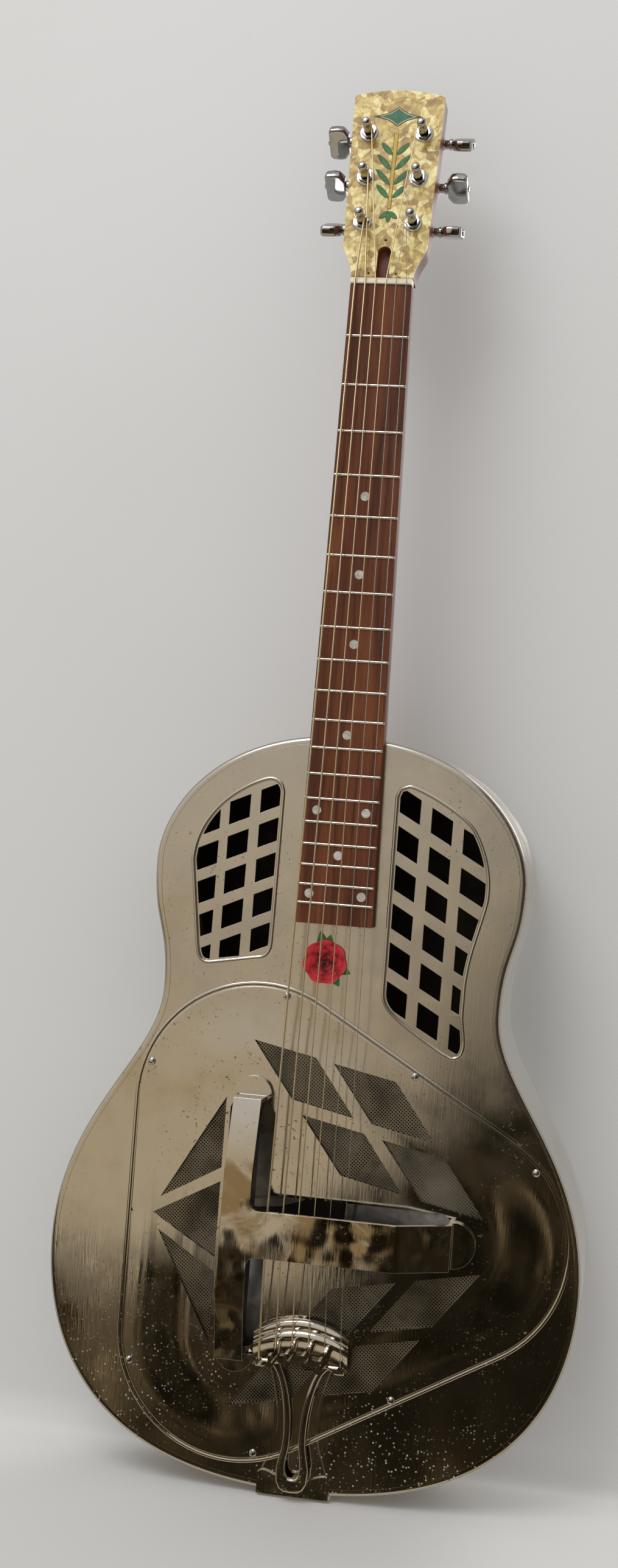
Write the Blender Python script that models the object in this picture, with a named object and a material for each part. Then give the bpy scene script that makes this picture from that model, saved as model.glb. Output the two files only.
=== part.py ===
"""Three-cone resonator guitar, standing on its tail with the face toward -Y.

Lengths below are millimetres in the guitar's own frame: x to the treble side, y from the nut
toward the head, z out of the face. The body's face is z = 0 and its tail lies at negative y.
"""

from math import acos, atan2, cos, pi, radians, sin, sqrt, tan

import bmesh
import bpy
from mathutils import Matrix, Vector

MM = 0.001
NUT_HEIGHT = 827.2
FACE_OFFSET = 23.5

SCALE_LENGTH = 635.0
FRETS = 19
NUT_WIDTH = 42.4
TWELFTH_WIDTH = 50.8
BOARD_END = 437.0
BOARD_TOP = 8.0
FRET_HEIGHT = 1.1
FRET_WIDTH = 2.4

SHOULDER_Y = -309.7
HEEL_FLAT = 22.0
UPPER_BOUT = (128.9, -403.0)
WAIST = (117.1, -489.6)
LOWER_BOUT = (183.9, -670.5)
TAIL_Y = -824.0
BODY_DEPTH = 82.0
SHEET = 1.3
RIM_RADIUS = 3.0
RIM_FLANGE = 4.6

COVER_CENTRE_Y = -644.0
COVER_CORNER_OUT = 91.2
COVER_RADIUS = 85.0
COVER_HEIGHT = 4.0
WELL_INSET = 8.4

CONE_RADIUS = 74.8
WELL_DEPTH = 30.0

REST_TOP = 35.0
REST_SHEET = 3.2
SADDLE_Y = -641.0
STRING_AT_NUT = 10.3
STRING_AT_SADDLE = 23.6
STRING_RADII = (0.70, 0.58, 0.46, 0.36, 0.27, 0.25)
NUT_SPREAD = 35.5
SADDLE_SPREAD = 53.5

HEAD_TILT = radians(8.0)
HEAD_START = 5.4
HEAD_LENGTH = 134.0
HEAD_THICKNESS = 15.0
HEAD_HALF_TOP = 31.8
HEAD_HALF_LOW = 29.2
OVERLAY = 1.2
POST_FIRST = 40.0
POST_SPACING = 33.0
POST_HALF_LOW = 17.6
POST_HALF_TOP = 19.2
BUTTON_TURNS = (33.0, -22.0, -35.0, 23.0, -21.0, 35.0)

GAP = 0.3

COLOURS = {
    "nickel": ((0.66, 0.62, 0.55), 1.0, 0.22),
    "chrome": ((0.75, 0.75, 0.75), 1.0, 0.12),
    "aluminium": ((0.72, 0.72, 0.72), 1.0, 0.4),
    "rosewood": ((0.13, 0.05, 0.025), 0.0, 0.45),
    "mahogany": ((0.22, 0.07, 0.03), 0.0, 0.35),
    "maple": ((0.55, 0.38, 0.2), 0.0, 0.5),
    "bone": ((0.8, 0.76, 0.62), 0.0, 0.4),
    "pearloid": ((0.65, 0.5, 0.26), 0.0, 0.25),
    "bronze": ((0.6, 0.42, 0.2), 1.0, 0.3),
    "steel": ((0.6, 0.6, 0.6), 1.0, 0.25),
    "screen": ((0.12, 0.11, 0.1), 1.0, 0.5),
}


def place(point):
    x, y, z = point
    return Vector((x, -z - FACE_OFFSET, y + NUT_HEIGHT)) * MM


def clear_scene():
    for obj in list(bpy.data.objects):
        bpy.data.objects.remove(obj)


def material(name, kind):
    colour, metallic, roughness = COLOURS[kind]
    made = bpy.data.materials.new(f"{name}_{kind}")
    made.use_nodes = True
    shader = made.node_tree.nodes["Principled BSDF"]
    shader.inputs["Base Color"].default_value = (*colour, 1.0)
    shader.inputs["Metallic"].default_value = metallic
    shader.inputs["Roughness"].default_value = roughness
    return made


def mesh_object(name, points, faces, matrix=None):
    """A closed mesh from guitar-frame points, its normals turned outward."""
    work = bmesh.new()
    if matrix is not None:
        points = [matrix @ Vector(point) for point in points]
    corners = [work.verts.new(place(point)) for point in points]
    for face in faces:
        work.faces.new([corners[index] for index in face])
    bmesh.ops.recalc_face_normals(work, faces=work.faces)
    mesh = bpy.data.meshes.new(name)
    work.to_mesh(mesh)
    work.free()
    obj = bpy.data.objects.new(name, mesh)
    bpy.context.scene.collection.objects.link(obj)
    return obj


def loft(name, loops, closed=False, matrix=None):
    """Joins equal loops of points. An open loft is capped at both ends, a closed one forms a ring."""
    count = len(loops[0])
    points = [point for loop in loops for point in loop]
    faces = []
    for step in range(len(loops) if closed else len(loops) - 1):
        here = step * count
        there = (step + 1) % len(loops) * count
        for index in range(count):
            after = (index + 1) % count
            faces.append((here + index, here + after, there + after, there + index))
    if not closed:
        faces.append(tuple(range(count)))
        faces.append(tuple(range((len(loops) - 1) * count, len(loops) * count)))
    return mesh_object(name, points, faces, matrix)


def prisms(name, outlines, low, high, matrix=None):
    """One mesh of separate upright prisms, one for each outline of (x, y)."""
    points = []
    faces = []
    for outline in outlines:
        count = len(outline)
        first = len(points)
        points += [(x, y, low) for x, y in outline]
        points += [(x, y, high) for x, y in outline]
        faces.append(tuple(range(first, first + count)))
        faces.append(tuple(range(first + count, first + 2 * count)))
        for index in range(count):
            after = (index + 1) % count
            faces.append((first + index, first + after, first + count + after, first + count + index))
    return mesh_object(name, points, faces, matrix)


def lathe(name, profile, steps, matrix=None):
    """Turns (radius, height) pairs about the frame's z, from one end of the axis to the other."""
    loops = []
    for radius, height in profile:
        loops.append([(radius * cos(2 * pi * k / steps), radius * sin(2 * pi * k / steps), height)
                      for k in range(steps)])
    return loft(name, loops, matrix=matrix)


def bake(obj):
    """Replaces the mesh by what its modifiers make of it."""
    graph = bpy.context.evaluated_depsgraph_get()
    made = bpy.data.meshes.new_from_object(obj.evaluated_get(graph))
    obj.modifiers.clear()
    obj.data = made


def combine(obj, other, operation="DIFFERENCE"):
    step = obj.modifiers.new("cut", "BOOLEAN")
    step.operation = operation
    step.solver = "EXACT"
    step.object = other
    bpy.context.view_layer.update()
    bake(obj)
    bpy.data.objects.remove(other)


def bevel(obj, width, segments=2, limit=30):
    step = obj.modifiers.new("bevel", "BEVEL")
    step.width = width * MM
    step.segments = segments
    step.limit_method = "ANGLE"
    step.angle_limit = radians(limit)
    bpy.context.view_layer.update()
    bake(obj)


def finish(obj, kind, crease=35):
    obj.data.shade_smooth()
    obj.data.set_sharp_from_angle(angle=radians(crease))
    obj.data.materials.clear()
    obj.data.materials.append(material(obj.name, kind))
    return obj


def bezier(first, second, third, last, steps):
    """Points from first up to, but not including, last."""
    found = []
    for step in range(steps):
        t = step / steps
        weights = ((1 - t) ** 3, 3 * (1 - t) ** 2 * t, 3 * (1 - t) * t * t, t ** 3)
        found.append(tuple(sum(w * p[axis] for w, p in zip(weights, (first, second, third, last)))
                           for axis in (0, 1)))
    return found


def mirrored(half):
    """Closes a right-hand half outline, whose ends may lie on the centre line."""
    other = [(-x, y) for x, y in reversed(half) if abs(x) > 1e-6]
    return list(half) + other


def inset(outline, distance):
    """Moves a closed outline inward along its normals."""
    count = len(outline)
    area = sum(outline[k - 1][0] * outline[k][1] - outline[k][0] * outline[k - 1][1] for k in range(count))
    side = 1 if area > 0 else -1
    moved = []
    for index in range(count):
        before = outline[index - 1]
        after = outline[(index + 1) % count]
        dx = after[0] - before[0]
        dy = after[1] - before[1]
        size = sqrt(dx * dx + dy * dy)
        x, y = outline[index]
        moved.append((x - side * dy / size * distance, y + side * dx / size * distance))
    return moved


def circle(x, y, radius, steps=16, start=0.0):
    return [(x + radius * cos(start + 2 * pi * k / steps), y + radius * sin(start + 2 * pi * k / steps))
            for k in range(steps)]


def rounded(corners, radii, steps=6):
    """A polygon with its corners rounded; radii holds one radius for each corner."""
    found = []
    count = len(corners)
    for index, (corner, radius) in enumerate(zip(corners, radii)):
        here = Vector(corner)
        before = (Vector(corners[index - 1]) - here).normalized()
        after = (Vector(corners[(index + 1) % count]) - here).normalized()
        if radius <= 0:
            found.append(tuple(here))
            continue
        half = acos(max(-1.0, min(1.0, before.dot(after)))) / 2
        centre = here + (before + after).normalized() * (radius / sin(half))
        enter = here + before * (radius / tan(half)) - centre
        leave = here + after * (radius / tan(half)) - centre
        start = atan2(enter.y, enter.x)
        turn = atan2(leave.y, leave.x) - start
        turn = (turn + pi) % (2 * pi) - pi
        for step in range(steps + 1):
            angle = start + turn * step / steps
            found.append((centre.x + radius * cos(angle), centre.y + radius * sin(angle)))
    return found


# Body -----------------------------------------------------------------------------------------


def below(point, distance):
    """The control point straight below a bout or the waist, where the outline runs along y."""
    return (point[0], point[1] - distance)


def body_outline(steps=8):
    start = (HEEL_FLAT, SHOULDER_Y)
    half = bezier(start, (94.6, SHOULDER_Y - 7.2), below(UPPER_BOUT, -36.3), UPPER_BOUT, steps)
    half += bezier(UPPER_BOUT, below(UPPER_BOUT, 43.7), below(WAIST, -44.3), WAIST, steps)
    half += bezier(WAIST, below(WAIST, 49.9), below(LOWER_BOUT, -90.1), LOWER_BOUT, steps)
    half += bezier(LOWER_BOUT, below(LOWER_BOUT, 59.5), (157.3, TAIL_Y), (0.0, TAIL_Y), steps + 5)
    return mirrored(half + [(0.0, TAIL_Y)])


def band_section():
    """(inset, z) round the side band: rounded rims, flanges for the plates, a thin wall between."""
    top = []
    for step in range(4):
        angle = pi / 2 * step / 3
        top.append((RIM_RADIUS - RIM_RADIUS * cos(angle), -RIM_RADIUS + RIM_RADIUS * sin(angle)))
    inner = [(RIM_FLANGE, 0.0), (RIM_FLANGE, -SHEET), (RIM_RADIUS + 0.2, -SHEET), (SHEET, -RIM_RADIUS - 0.4)]
    upper = top + inner
    lower = [(away, -BODY_DEPTH - z) for away, z in reversed(upper)]
    return upper + lower


def make_band(outline):
    loops = [[(x, y, z) for x, y in inset(outline, away)] for away, z in band_section()]
    band = loft("body_sides", loops, closed=True)
    tenon = prisms("cutter", [[(-18, -300), (18, -300), (18, -315), (-18, -315)]], -75.5, -46.5)
    combine(band, tenon)
    pin = lathe("cutter", [(3.5, -20), (3.5, 20)], 20, end_pin_matrix())
    combine(band, pin)
    return finish(band, "nickel")


def end_pin_matrix():
    """Carries a lathe axis to the tail, pointing outward from the middle of the side band."""
    return Matrix.Translation((0, TAIL_Y, -41.0)) @ Matrix.Rotation(radians(90), 4, "X")


def cover_triangle(distance, steps=9):
    """The rounded triangle of the coverplate, moved inward."""
    found = []
    for corner in range(3):
        towards = radians(120 * corner)
        cx = COVER_CORNER_OUT * cos(towards)
        cy = COVER_CENTRE_Y + COVER_CORNER_OUT * sin(towards)
        for step in range(steps + 1):
            angle = towards - radians(60) + radians(120) * step / steps
            radius = COVER_RADIUS - distance
            found.append((cx + radius * cos(angle), cy + radius * sin(angle)))
    return found


def cover_screws():
    """Nine screw places: one at the middle of each side, two at each corner."""
    places = []
    for corner in range(3):
        for turn, radius in ((-19.5, 158.3), (19.5, 158.3), (60.0, 126.0)):
            angle = radians(120 * corner + turn)
            places.append((radius * cos(angle), COVER_CENTRE_Y + radius * sin(angle)))
    return places


def soundhole_bass():
    upper = bezier((-101.5, -400), (-100.5, -371), (-78.0, -351), (-56.0, -342.8), 9)
    corner = bezier((-56.0, -342.8), (-48.5, -340.2), (-43.6, -344), (-43.8, -352), 5)
    inner = bezier((-44.6, -452.0), (-44.8, -459.0), (-47.0, -462.4), (-53.0, -462.7), 3)
    lower = bezier((-84.0, -468.4), (-90.0, -469.6), (-92.6, -468.0), (-94.0, -458.0), 4)
    return upper + corner + inner + [(-53.0, -462.7)] + lower + [(-94.0, -458.0)]


def soundhole_treble():
    upper = bezier((44.5, -341.0), (50.0, -340.5), (84.0, -357.0), (90.5, -368.0), 8)
    outer = bezier((90.5, -368.0), (97.5, -379.0), (103.5, -396.0), (101.5, -414.0), 8)
    lower = bezier((101.5, -414.0), (97.0, -437.0), (90.4, -452.0), (90.2, -478.0), 6)
    toe = bezier((90.2, -492.0), (91.0, -503.0), (97.0, -519.0), (86.5, -519.8), 6)
    inner = [(86.5, -519.8), (80.0, -517.0), (43.5, -495.3), (38.8, -491.0), (37.8, -486.0), (37.6, -347.0)]
    return upper + outer + lower + toe + inner + [(39.5, -342.6)]


def lattice(columns, first, slope, pitch, hole, rows):
    """Parallelograms in upright columns; every column follows the same slanting lines."""
    found = []
    for left, right in columns:
        for row in range(rows):
            lower_left = (left, first - pitch * row + slope * (left - columns[0][0]))
            lower_right = (right, lower_left[1] + slope * (right - left))
            found.append([lower_left, lower_right, below(lower_right, -hole), below(lower_left, -hole)])
    return found


def make_top(outline):
    plate = prisms("body_top", [inset(outline, RIM_FLANGE + GAP)], -SHEET, 0.0)
    bass_columns = ((-110.0, -86.0), (-79.5, -65.4), (-58.2, -40.0))
    treble_columns = ((30.0, 53.0), (61.0, 75.6), (83.6, 110.0))
    sides = (
        (soundhole_bass(), lattice(bass_columns, -364.5, 0.455, 24.0, 15.8, 7)),
        (soundhole_treble(), lattice(treble_columns, -352.4, -0.558, 26.4, 16.8, 8)),
    )
    for region, windows in sides:
        pocket = prisms("cutter", [region], -0.5, 1.0)
        combine(plate, pocket)
        inner = prisms("cutter", [inset(region, 0.9)], -5.0, 5.0)
        holes = prisms("windows", windows, -4.0, 4.0)
        combine(holes, inner, "INTERSECT")
        combine(plate, holes)
    combine(plate, prisms("cutter", [cover_triangle(WELL_INSET)], -5.0, 5.0))
    combine(plate, prisms("cutter", [circle(x, y, 1.35, 10) for x, y in cover_screws()], -5.0, 5.0))
    return finish(plate, "nickel", 25)


def make_back(outline):
    low = -BODY_DEPTH
    return finish(prisms("body_back", [inset(outline, RIM_FLANGE + GAP)], low, low + SHEET), "nickel")


def make_well():
    sections = ((0.0, -WELL_DEPTH), (0.0, -2.9), (5.4, -2.9), (5.4, -SHEET - GAP), (-0.9, -SHEET - GAP),
                (-0.9, -WELL_DEPTH + 1.2))
    loops = []
    for outward, z in sections:
        loops.append([(x, y, z) for x, y in cover_triangle(WELL_INSET - outward)])
    well = loft("sound_well", loops)
    holes = [circle(x, y, 66.0, 32) for x, y in cone_centres()]
    combine(well, prisms("cutter", holes, -50.0, -20.0))
    return finish(well, "nickel")


def cone_centres():
    centres = []
    for corner in range(3):
        angle = radians(120 * corner)
        centres.append((COVER_CORNER_OUT * cos(angle), COVER_CENTRE_Y + COVER_CORNER_OUT * sin(angle)))
    return centres


def make_cones():
    names = ("cone_treble", "cone_bass_upper", "cone_bass_lower")
    floor = -WELL_DEPTH + 1.2 + GAP
    outer = [(CONE_RADIUS, floor + 0.8), (CONE_RADIUS - 5.5, floor + 0.8), (CONE_RADIUS - 8.0, floor + 2.6)]
    outer += [(21.4, floor + 18.1), (11.0, floor + 20.6), (5.0, floor + 21.8), (0.05, floor + 22.2)]
    inner = [(radius, height - 0.8) for radius, height in reversed(outer)]
    for name, (x, y) in zip(names, cone_centres()):
        cone = lathe(name, inner + outer, 28, Matrix.Translation((x, y, 0)))
        finish(cone, "aluminium")


def cone_top():
    return -WELL_DEPTH + 1.2 + GAP + 22.2


def cover_window_grid():
    """Four slanting windows in two rows of two, above the stem."""
    found = []
    for row in range(2):
        for column in range(2):
            x = -49.0 + 56.0 * column + 37.0 * row
            y = -519.5 - 11.5 * column - 48.0 * row
            found.append([(x, y), (x + 43.5, y - 8.6), (x + 72.8, y - 47.0), (x + 29.3, y - 38.2)])
    return found


def cover_side_windows():
    """Three triangular windows at the bass side."""
    mid = COVER_CENTRE_Y
    upper = [(-65.2, mid + 84.0), (-65.2, mid + 35.5), (-107.0, mid + 11.0)]
    middle = [(-65.2, mid + 26.0), (-65.2, mid - 26.0), (-111.5, mid)]
    return [upper, middle, flipped(upper)]


def flipped(outline):
    return [(x, 2 * COVER_CENTRE_Y - y) for x, y in outline]


def bridge_opening():
    """The T-shaped hole under the palm rest."""
    mid = COVER_CENTRE_Y
    corners = [(-62, mid + 84), (-30, mid + 84), (-30, mid + 20), (95, mid + 20)]
    corners += [(x, 2 * mid - y) for x, y in reversed(corners)]
    return rounded(corners, [8, 12, 0, 8, 8, 0, 12, 8])


def trough(margin):
    """The stamped channel that the tailpiece lies in."""
    upper = bezier((23.0, -733.0), (17.0, -748.0), (14.0, -760.0), (13.6, -775.0), 5)
    lower = bezier((13.6, -775.0), (13.4, -790.0), (18.0, -797.0), (23.0, -812.0), 5)
    half = upper + lower + [(23.0, -812.0)]
    return mirrored([(x + margin, y) for x, y in half])


def make_cover():
    rise = ((3.4, 1.9), (10.0, 1.9), (13.0, 2.3), (17.0, 3.15), (22.0, 3.75), (28.0, COVER_HEIGHT))
    under = ((28.0, 3.0), (22.0, 2.75), (17.0, 2.1), (13.0, 1.3), (12.2, 1.15), (10.4, GAP), (0.0, GAP))
    edge = ((0.0, 1.3), (0.6, 1.8), (1.3, 1.9), (2.0, 1.7), (2.4, 1.4), (3.0, 1.5))
    loops = [[(x, y, z) for x, y in cover_triangle(away)] for away, z in under + edge + rise]
    cover = loft("coverplate", loops)
    pad = prisms("pad", [trough(2.0)], 1.12, 3.43)
    bound = prisms("cutter", [cover_triangle(5.3)], 0.5, 3.6)
    combine(pad, bound, "INTERSECT")
    combine(cover, pad, "UNION")
    combine(cover, prisms("cutter", [trough(0.0)], 2.2, 9.0))
    openings = cover_window_grid() + cover_side_windows()
    openings += [flipped(window) for window in cover_window_grid()]
    openings.append(bridge_opening())
    openings += [circle(x, y, 1.45, 10) for x, y in cover_screws()]
    combine(cover, prisms("cutter", openings, -5.0, 9.0))
    return finish(cover, "nickel", 25)


def make_screens():
    """Woven screens behind the three groups of windows, as thin plates."""
    low, high = GAP, GAP + 0.5
    grid = cover_window_grid()
    hull = [grid[0][0], grid[1][1], grid[3][2], grid[2][3]]
    upper = inset_polygon(hull, -2.2)
    bass = [(-65.2, COVER_CENTRE_Y + 84), (-65.2, COVER_CENTRE_Y - 84), (-111.5, COVER_CENTRE_Y)]
    side = inset_polygon(bass, -2.2)
    finish(prisms("screen_upper", [upper], low, high), "screen")
    finish(prisms("screen_lower", [flipped(upper)], low, high), "screen")
    finish(prisms("screen_side", [side], low, high), "screen")


def inset_polygon(corners, distance):
    """Moves each straight side inward, so that the corners stay sharp."""
    count = len(corners)
    area = sum(corners[k - 1][0] * corners[k][1] - corners[k][0] * corners[k - 1][1] for k in range(count))
    side = 1 if area > 0 else -1
    moved = []
    for index in range(count):
        here = Vector(corners[index])
        before = (here - Vector(corners[index - 1])).normalized()
        after = (Vector(corners[(index + 1) % count]) - here).normalized()
        normal_before = Vector((-before.y, before.x)) * side
        normal_after = Vector((-after.y, after.x)) * side
        joined = (normal_before + normal_after).normalized()
        moved.append(tuple(here + joined * (distance / joined.dot(normal_before))))
    return moved


def make_cover_screws():
    """Seven screws; two of the nine places have lost theirs."""
    empty = (0, 5)
    number = 0
    for index, (x, y) in enumerate(cover_screws()):
        if index in empty:
            continue
        number += 1
        profile = [(1.0, -1.2), (1.0, 2.2), (2.6, 2.2), (2.6, 2.6), (2.0, 3.4), (0.9, 3.8), (0.05, 3.85)]
        screw = lathe(f"cover_screw_{number}", profile, 12, Matrix.Translation((x, y, 0)))
        groove = [(x - 4, y - 0.35), (x + 4, y - 0.35), (x + 4, y + 0.35), (x - 4, y + 0.35)]
        slot = prisms("cutter", [groove], 3.1, 6.0)
        combine(screw, slot)
        finish(screw, "chrome")


# Bridge and palm rest -------------------------------------------------------------------------


def make_bridge():
    x0 = COVER_CORNER_OUT * cos(radians(120))
    reach = COVER_CORNER_OUT * sin(radians(120))
    mid = COVER_CENTRE_Y
    half = 4.0
    top = mid + reach + 3.5
    bar = [(x0 - half, top), (x0 + half, top), (x0 + half, mid + half), (COVER_CORNER_OUT + 1.5, mid + half)]
    bar += flipped(reversed(bar))
    bridge = prisms("t_bridge", [bar], -2.0, 13.2)
    feet = prisms("feet", [circle(x, y, 3.0, 12) for x, y in cone_centres()], cone_top() + GAP, 0.5)
    combine(bridge, feet, "UNION")
    return finish(bridge, "aluminium")


def make_saddle():
    top = STRING_AT_SADDLE - STRING_RADII[0] - GAP
    x = SADDLE_SPREAD / 2 + 4
    outline = [(-x, 13.5), (x, 13.5), (x, top - 2.0), (x - 3, top), (-x + 3, top), (-x, top - 2.0)]
    loops = []
    for y in (SADDLE_Y - 1.4, SADDLE_Y + 1.4):
        loops.append([(px, y, pz) for px, pz in outline])
    return finish(loft("saddle", loops), "maple")


def make_palm_rest():
    """A bent T of thick sheet: level in the middle, three arms sloping to round feet."""
    mid = COVER_CENTRE_Y
    x0 = -46.0
    half_bar = 9.6
    half_stem = 15.4
    foot_z = COVER_HEIGHT + GAP + REST_SHEET
    stem_crease, stem_end, stem_low = 62.0, 97.0, 17.0
    bar_crease, bar_end, bar_low = 40.0, 87.5, 24.0
    points = []
    faces = []

    def add(*found):
        first = len(points)
        points.extend(found)
        return list(range(first, first + len(found)))

    left = add((x0 - half_bar, mid - bar_crease, REST_TOP), (x0 - half_bar, mid + bar_crease, REST_TOP))
    upper = add((x0 + half_bar, mid + bar_crease, REST_TOP))
    fillet = 5.0
    in_upper = add((x0 + half_bar, mid + half_stem + fillet, REST_TOP),
                   (x0 + half_bar + fillet * 0.3, mid + half_stem + fillet * 0.3, REST_TOP),
                   (x0 + half_bar + fillet, mid + half_stem, REST_TOP))
    stem = add((stem_crease, mid + half_stem, REST_TOP), (stem_crease, mid - half_stem, REST_TOP))
    in_lower = add((x0 + half_bar + fillet, mid - half_stem, REST_TOP),
                   (x0 + half_bar + fillet * 0.3, mid - half_stem - fillet * 0.3, REST_TOP),
                   (x0 + half_bar, mid - half_stem - fillet, REST_TOP))
    lower = add((x0 + half_bar, mid - bar_crease, REST_TOP))
    faces.append([left[0], left[1], *upper, *in_upper, *stem, *in_lower, *lower])
    ends = (
        ((left[1], upper[0]), (0, 1), bar_end, bar_low, half_bar, 13.0, (x0, mid)),
        ((lower[0], left[0]), (0, -1), bar_end, bar_low, half_bar, 13.0, (x0, mid)),
        ((stem[0], stem[1]), (1, 0), stem_end, stem_low, half_stem, half_stem + 0.2, (0.0, mid)),
    )
    for (first, second), (ux, uy), out, low, half, foot, (cx, cy) in ends:
        across = (uy, -ux)
        centre = (cx + ux * out, cy + uy * out)
        one = (centre[0] - across[0] * half, centre[1] - across[1] * half)
        two = (centre[0] + across[0] * half, centre[1] + across[1] * half)
        slope = add((*one, low), (*two, low))
        wall = add((*one, foot_z), (*two, foot_z))
        faces.append([first, second, slope[1], slope[0]])
        faces.append([slope[0], slope[1], wall[1], wall[0]])
        rim = []
        for step in range(13):
            angle = pi * step / 12
            rim.append((centre[0] + across[0] * foot * cos(angle) + ux * foot * sin(angle),
                        centre[1] + across[1] * foot * cos(angle) + uy * foot * sin(angle), foot_z))
        faces.append([wall[0], wall[1], *add(*rim)])
    rest = mesh_object("palm_rest", points, faces)
    for polygon in rest.data.polygons[:1]:
        if polygon.normal.y > 0:
            rest.data.flip_normals()
    thick = rest.modifiers.new("thickness", "SOLIDIFY")
    thick.thickness = REST_SHEET * MM
    thick.offset = -1.0
    thick.use_even_offset = True
    thick.use_quality_normals = True
    bpy.context.view_layer.update()
    bake(rest)
    bevel(rest, 0.8, 1, 25)
    return finish(rest, "nickel", 40)


# Neck -----------------------------------------------------------------------------------------


def board_half(y):
    """Half the fretboard's width at y, which runs negative toward the body."""
    return (NUT_WIDTH + (TWELFTH_WIDTH - NUT_WIDTH) * (-y) / (SCALE_LENGTH / 2)) / 2


def make_fretboard():
    profile = [(0.0, GAP), (0.0, BOARD_TOP)]
    for number in range(1, FRETS + 1):
        y = -SCALE_LENGTH * (1 - 2 ** (-number / 12))
        for side, lift in ((1, 0.0), (0.8, 0.6), (0.35, 1.0), (-0.35, 1.0), (-0.8, 0.6), (-1, 0.0)):
            profile.append((y + side * FRET_WIDTH / 2, BOARD_TOP + lift * FRET_HEIGHT))
    profile += [(-BOARD_END, BOARD_TOP), (-BOARD_END, GAP)]
    loops = [[(side * board_half(y), y, z) for y, z in profile] for side in (-1, 1)]
    return finish(loft("fretboard", loops), "rosewood", 20)


def make_nut():
    top = STRING_AT_NUT - STRING_RADII[0] - GAP
    half = NUT_WIDTH / 2
    profile = [(GAP, GAP), (GAP, top), (1.6, top), (4.8, top - 1.6), (4.8, GAP)]
    loops = [[(side * half, y, z) for y, z in profile] for side in (-1, 1)]
    return finish(loft("nut", loops), "bone")


def neck_section(y, depth, steps=12, width=None):
    """A D-shaped section, flat on top."""
    half = (board_half(y) if width is None else width) - 0.2
    curve = []
    for step in range(steps + 1):
        angle = pi * step / steps
        curve.append((half * cos(angle), y, -2.0 - (depth - 2.0) * sin(angle) ** 0.8))
    return [(half, y, 0.0), *curve, (-half, y, 0.0)]


def heel_section(y, depth, blend):
    """The D-shape grown deep and narrow toward the body."""
    base = neck_section(y, depth)
    found = []
    for x, _, z in base:
        below = max(0.0, -z - 4.0) / max(1.0, depth - 4.0)
        found.append((x * (1 - 0.42 * blend * below), y, z))
    return found


def head_matrix():
    """Carries (across, along the head, out of its face) into the guitar frame."""
    return Matrix.Translation((0, HEAD_START, BOARD_TOP - 1.4)) @ Matrix.Rotation(-HEAD_TILT, 4, "X")


def head_outline(margin=0.0):
    low = 21.5
    nut_half = NUT_WIDTH / 2 + 0.3
    half = [(nut_half, 0.0)]
    flare = (HEAD_HALF_LOW, low)
    half += bezier((nut_half, 1.0), (nut_half + 0.6, 8.0), (HEAD_HALF_LOW - 3.0, low - 7.0), flare, 6)
    half += [(HEAD_HALF_LOW + 0.1, low + 2.0), (HEAD_HALF_TOP, HEAD_LENGTH - 1.5)]
    half += [(HEAD_HALF_TOP - 0.8, HEAD_LENGTH)]
    for step in range(1, 7):
        across = (HEAD_HALF_TOP - 0.8) * (1 - step / 6)
        crown = 4.4 * (1 - (across / HEAD_HALF_TOP) ** 2)
        half.append((across, HEAD_LENGTH + crown))
    return [(x - margin, y) if x > 0 else (x + margin, y) for x, y in mirrored(half)]


def post_places():
    """(across, along) of the six posts on the headstock's face, bass side from the nut up, then treble."""
    found = []
    for side in (-1, 1):
        for row in range(3):
            across = POST_HALF_LOW + (POST_HALF_TOP - POST_HALF_LOW) * row / 2
            found.append((side * across, POST_FIRST + POST_SPACING * row))
    return found


def truss_slot(low):
    half = 4.6
    arch = [(half * cos(pi * k / 10), 18.0 + half * sin(pi * k / 10)) for k in range(11)]
    return [(-half, low), (half, low), *arch]


def make_neck():
    stations = [(0.2, 19.5), (-60.0, 20.0), (-150.0, 21.0), (-230.0, 22.5), (-262.0, 24.5)]
    loops = [heel_section(y, depth, 0.0) for y, depth in stations]
    for step in range(1, 8):
        share = step / 7
        y = -262.0 - 47.4 * share
        depth = 24.5 + 50.0 * sin(share * pi / 2) ** 2.2
        loops.append(heel_section(y, depth, share))
    neck = loft("neck", loops)
    wood = -OVERLAY - GAP
    head = prisms("head", [head_outline(0.2)], -HEAD_THICKNESS, wood, head_matrix())
    combine(neck, head, "UNION")
    swell = ((-20.0, 19.0, 20.0), (0.0, 20.5, 20.6), (12.0, 21.0, 20.2), (24.0, 18.0, 17.0))
    volute = loft("volute", [neck_section(y, depth, width=width) for y, depth, width in swell])
    lowered = prisms("cutter", [[(-60, -1), (60, -1), (60, 60), (-60, 60)]], -0.3, 30.0)
    combine(volute, lowered)
    above = [(-60, -12), (60, -12), (60, 60), (-60, 60)]
    face_cut = prisms("cutter", [above], wood - 4.0, 40.0, head_matrix())
    combine(volute, face_cut)
    combine(neck, volute, "UNION")
    clear = prisms("cutter", [[(-60, 0.25), (60, 0.25), (60, 5.05), (-60, 5.05)]], 0.0, 40.0)
    combine(neck, clear)
    holes = [circle(x, y, 4.8, 14) for x, y in post_places()]
    combine(neck, prisms("cutter", holes, -40.0, 20.0, head_matrix()))
    slot = prisms("cutter", [truss_slot(-12.0)], -7.5, 20.0, head_matrix())
    keep = prisms("keep", [[(-60, 5.1), (60, 5.1), (60, 60), (-60, 60)]], -30.0, 30.0)
    combine(slot, keep, "INTERSECT")
    combine(neck, slot)
    return finish(neck, "mahogany", 30)


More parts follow.
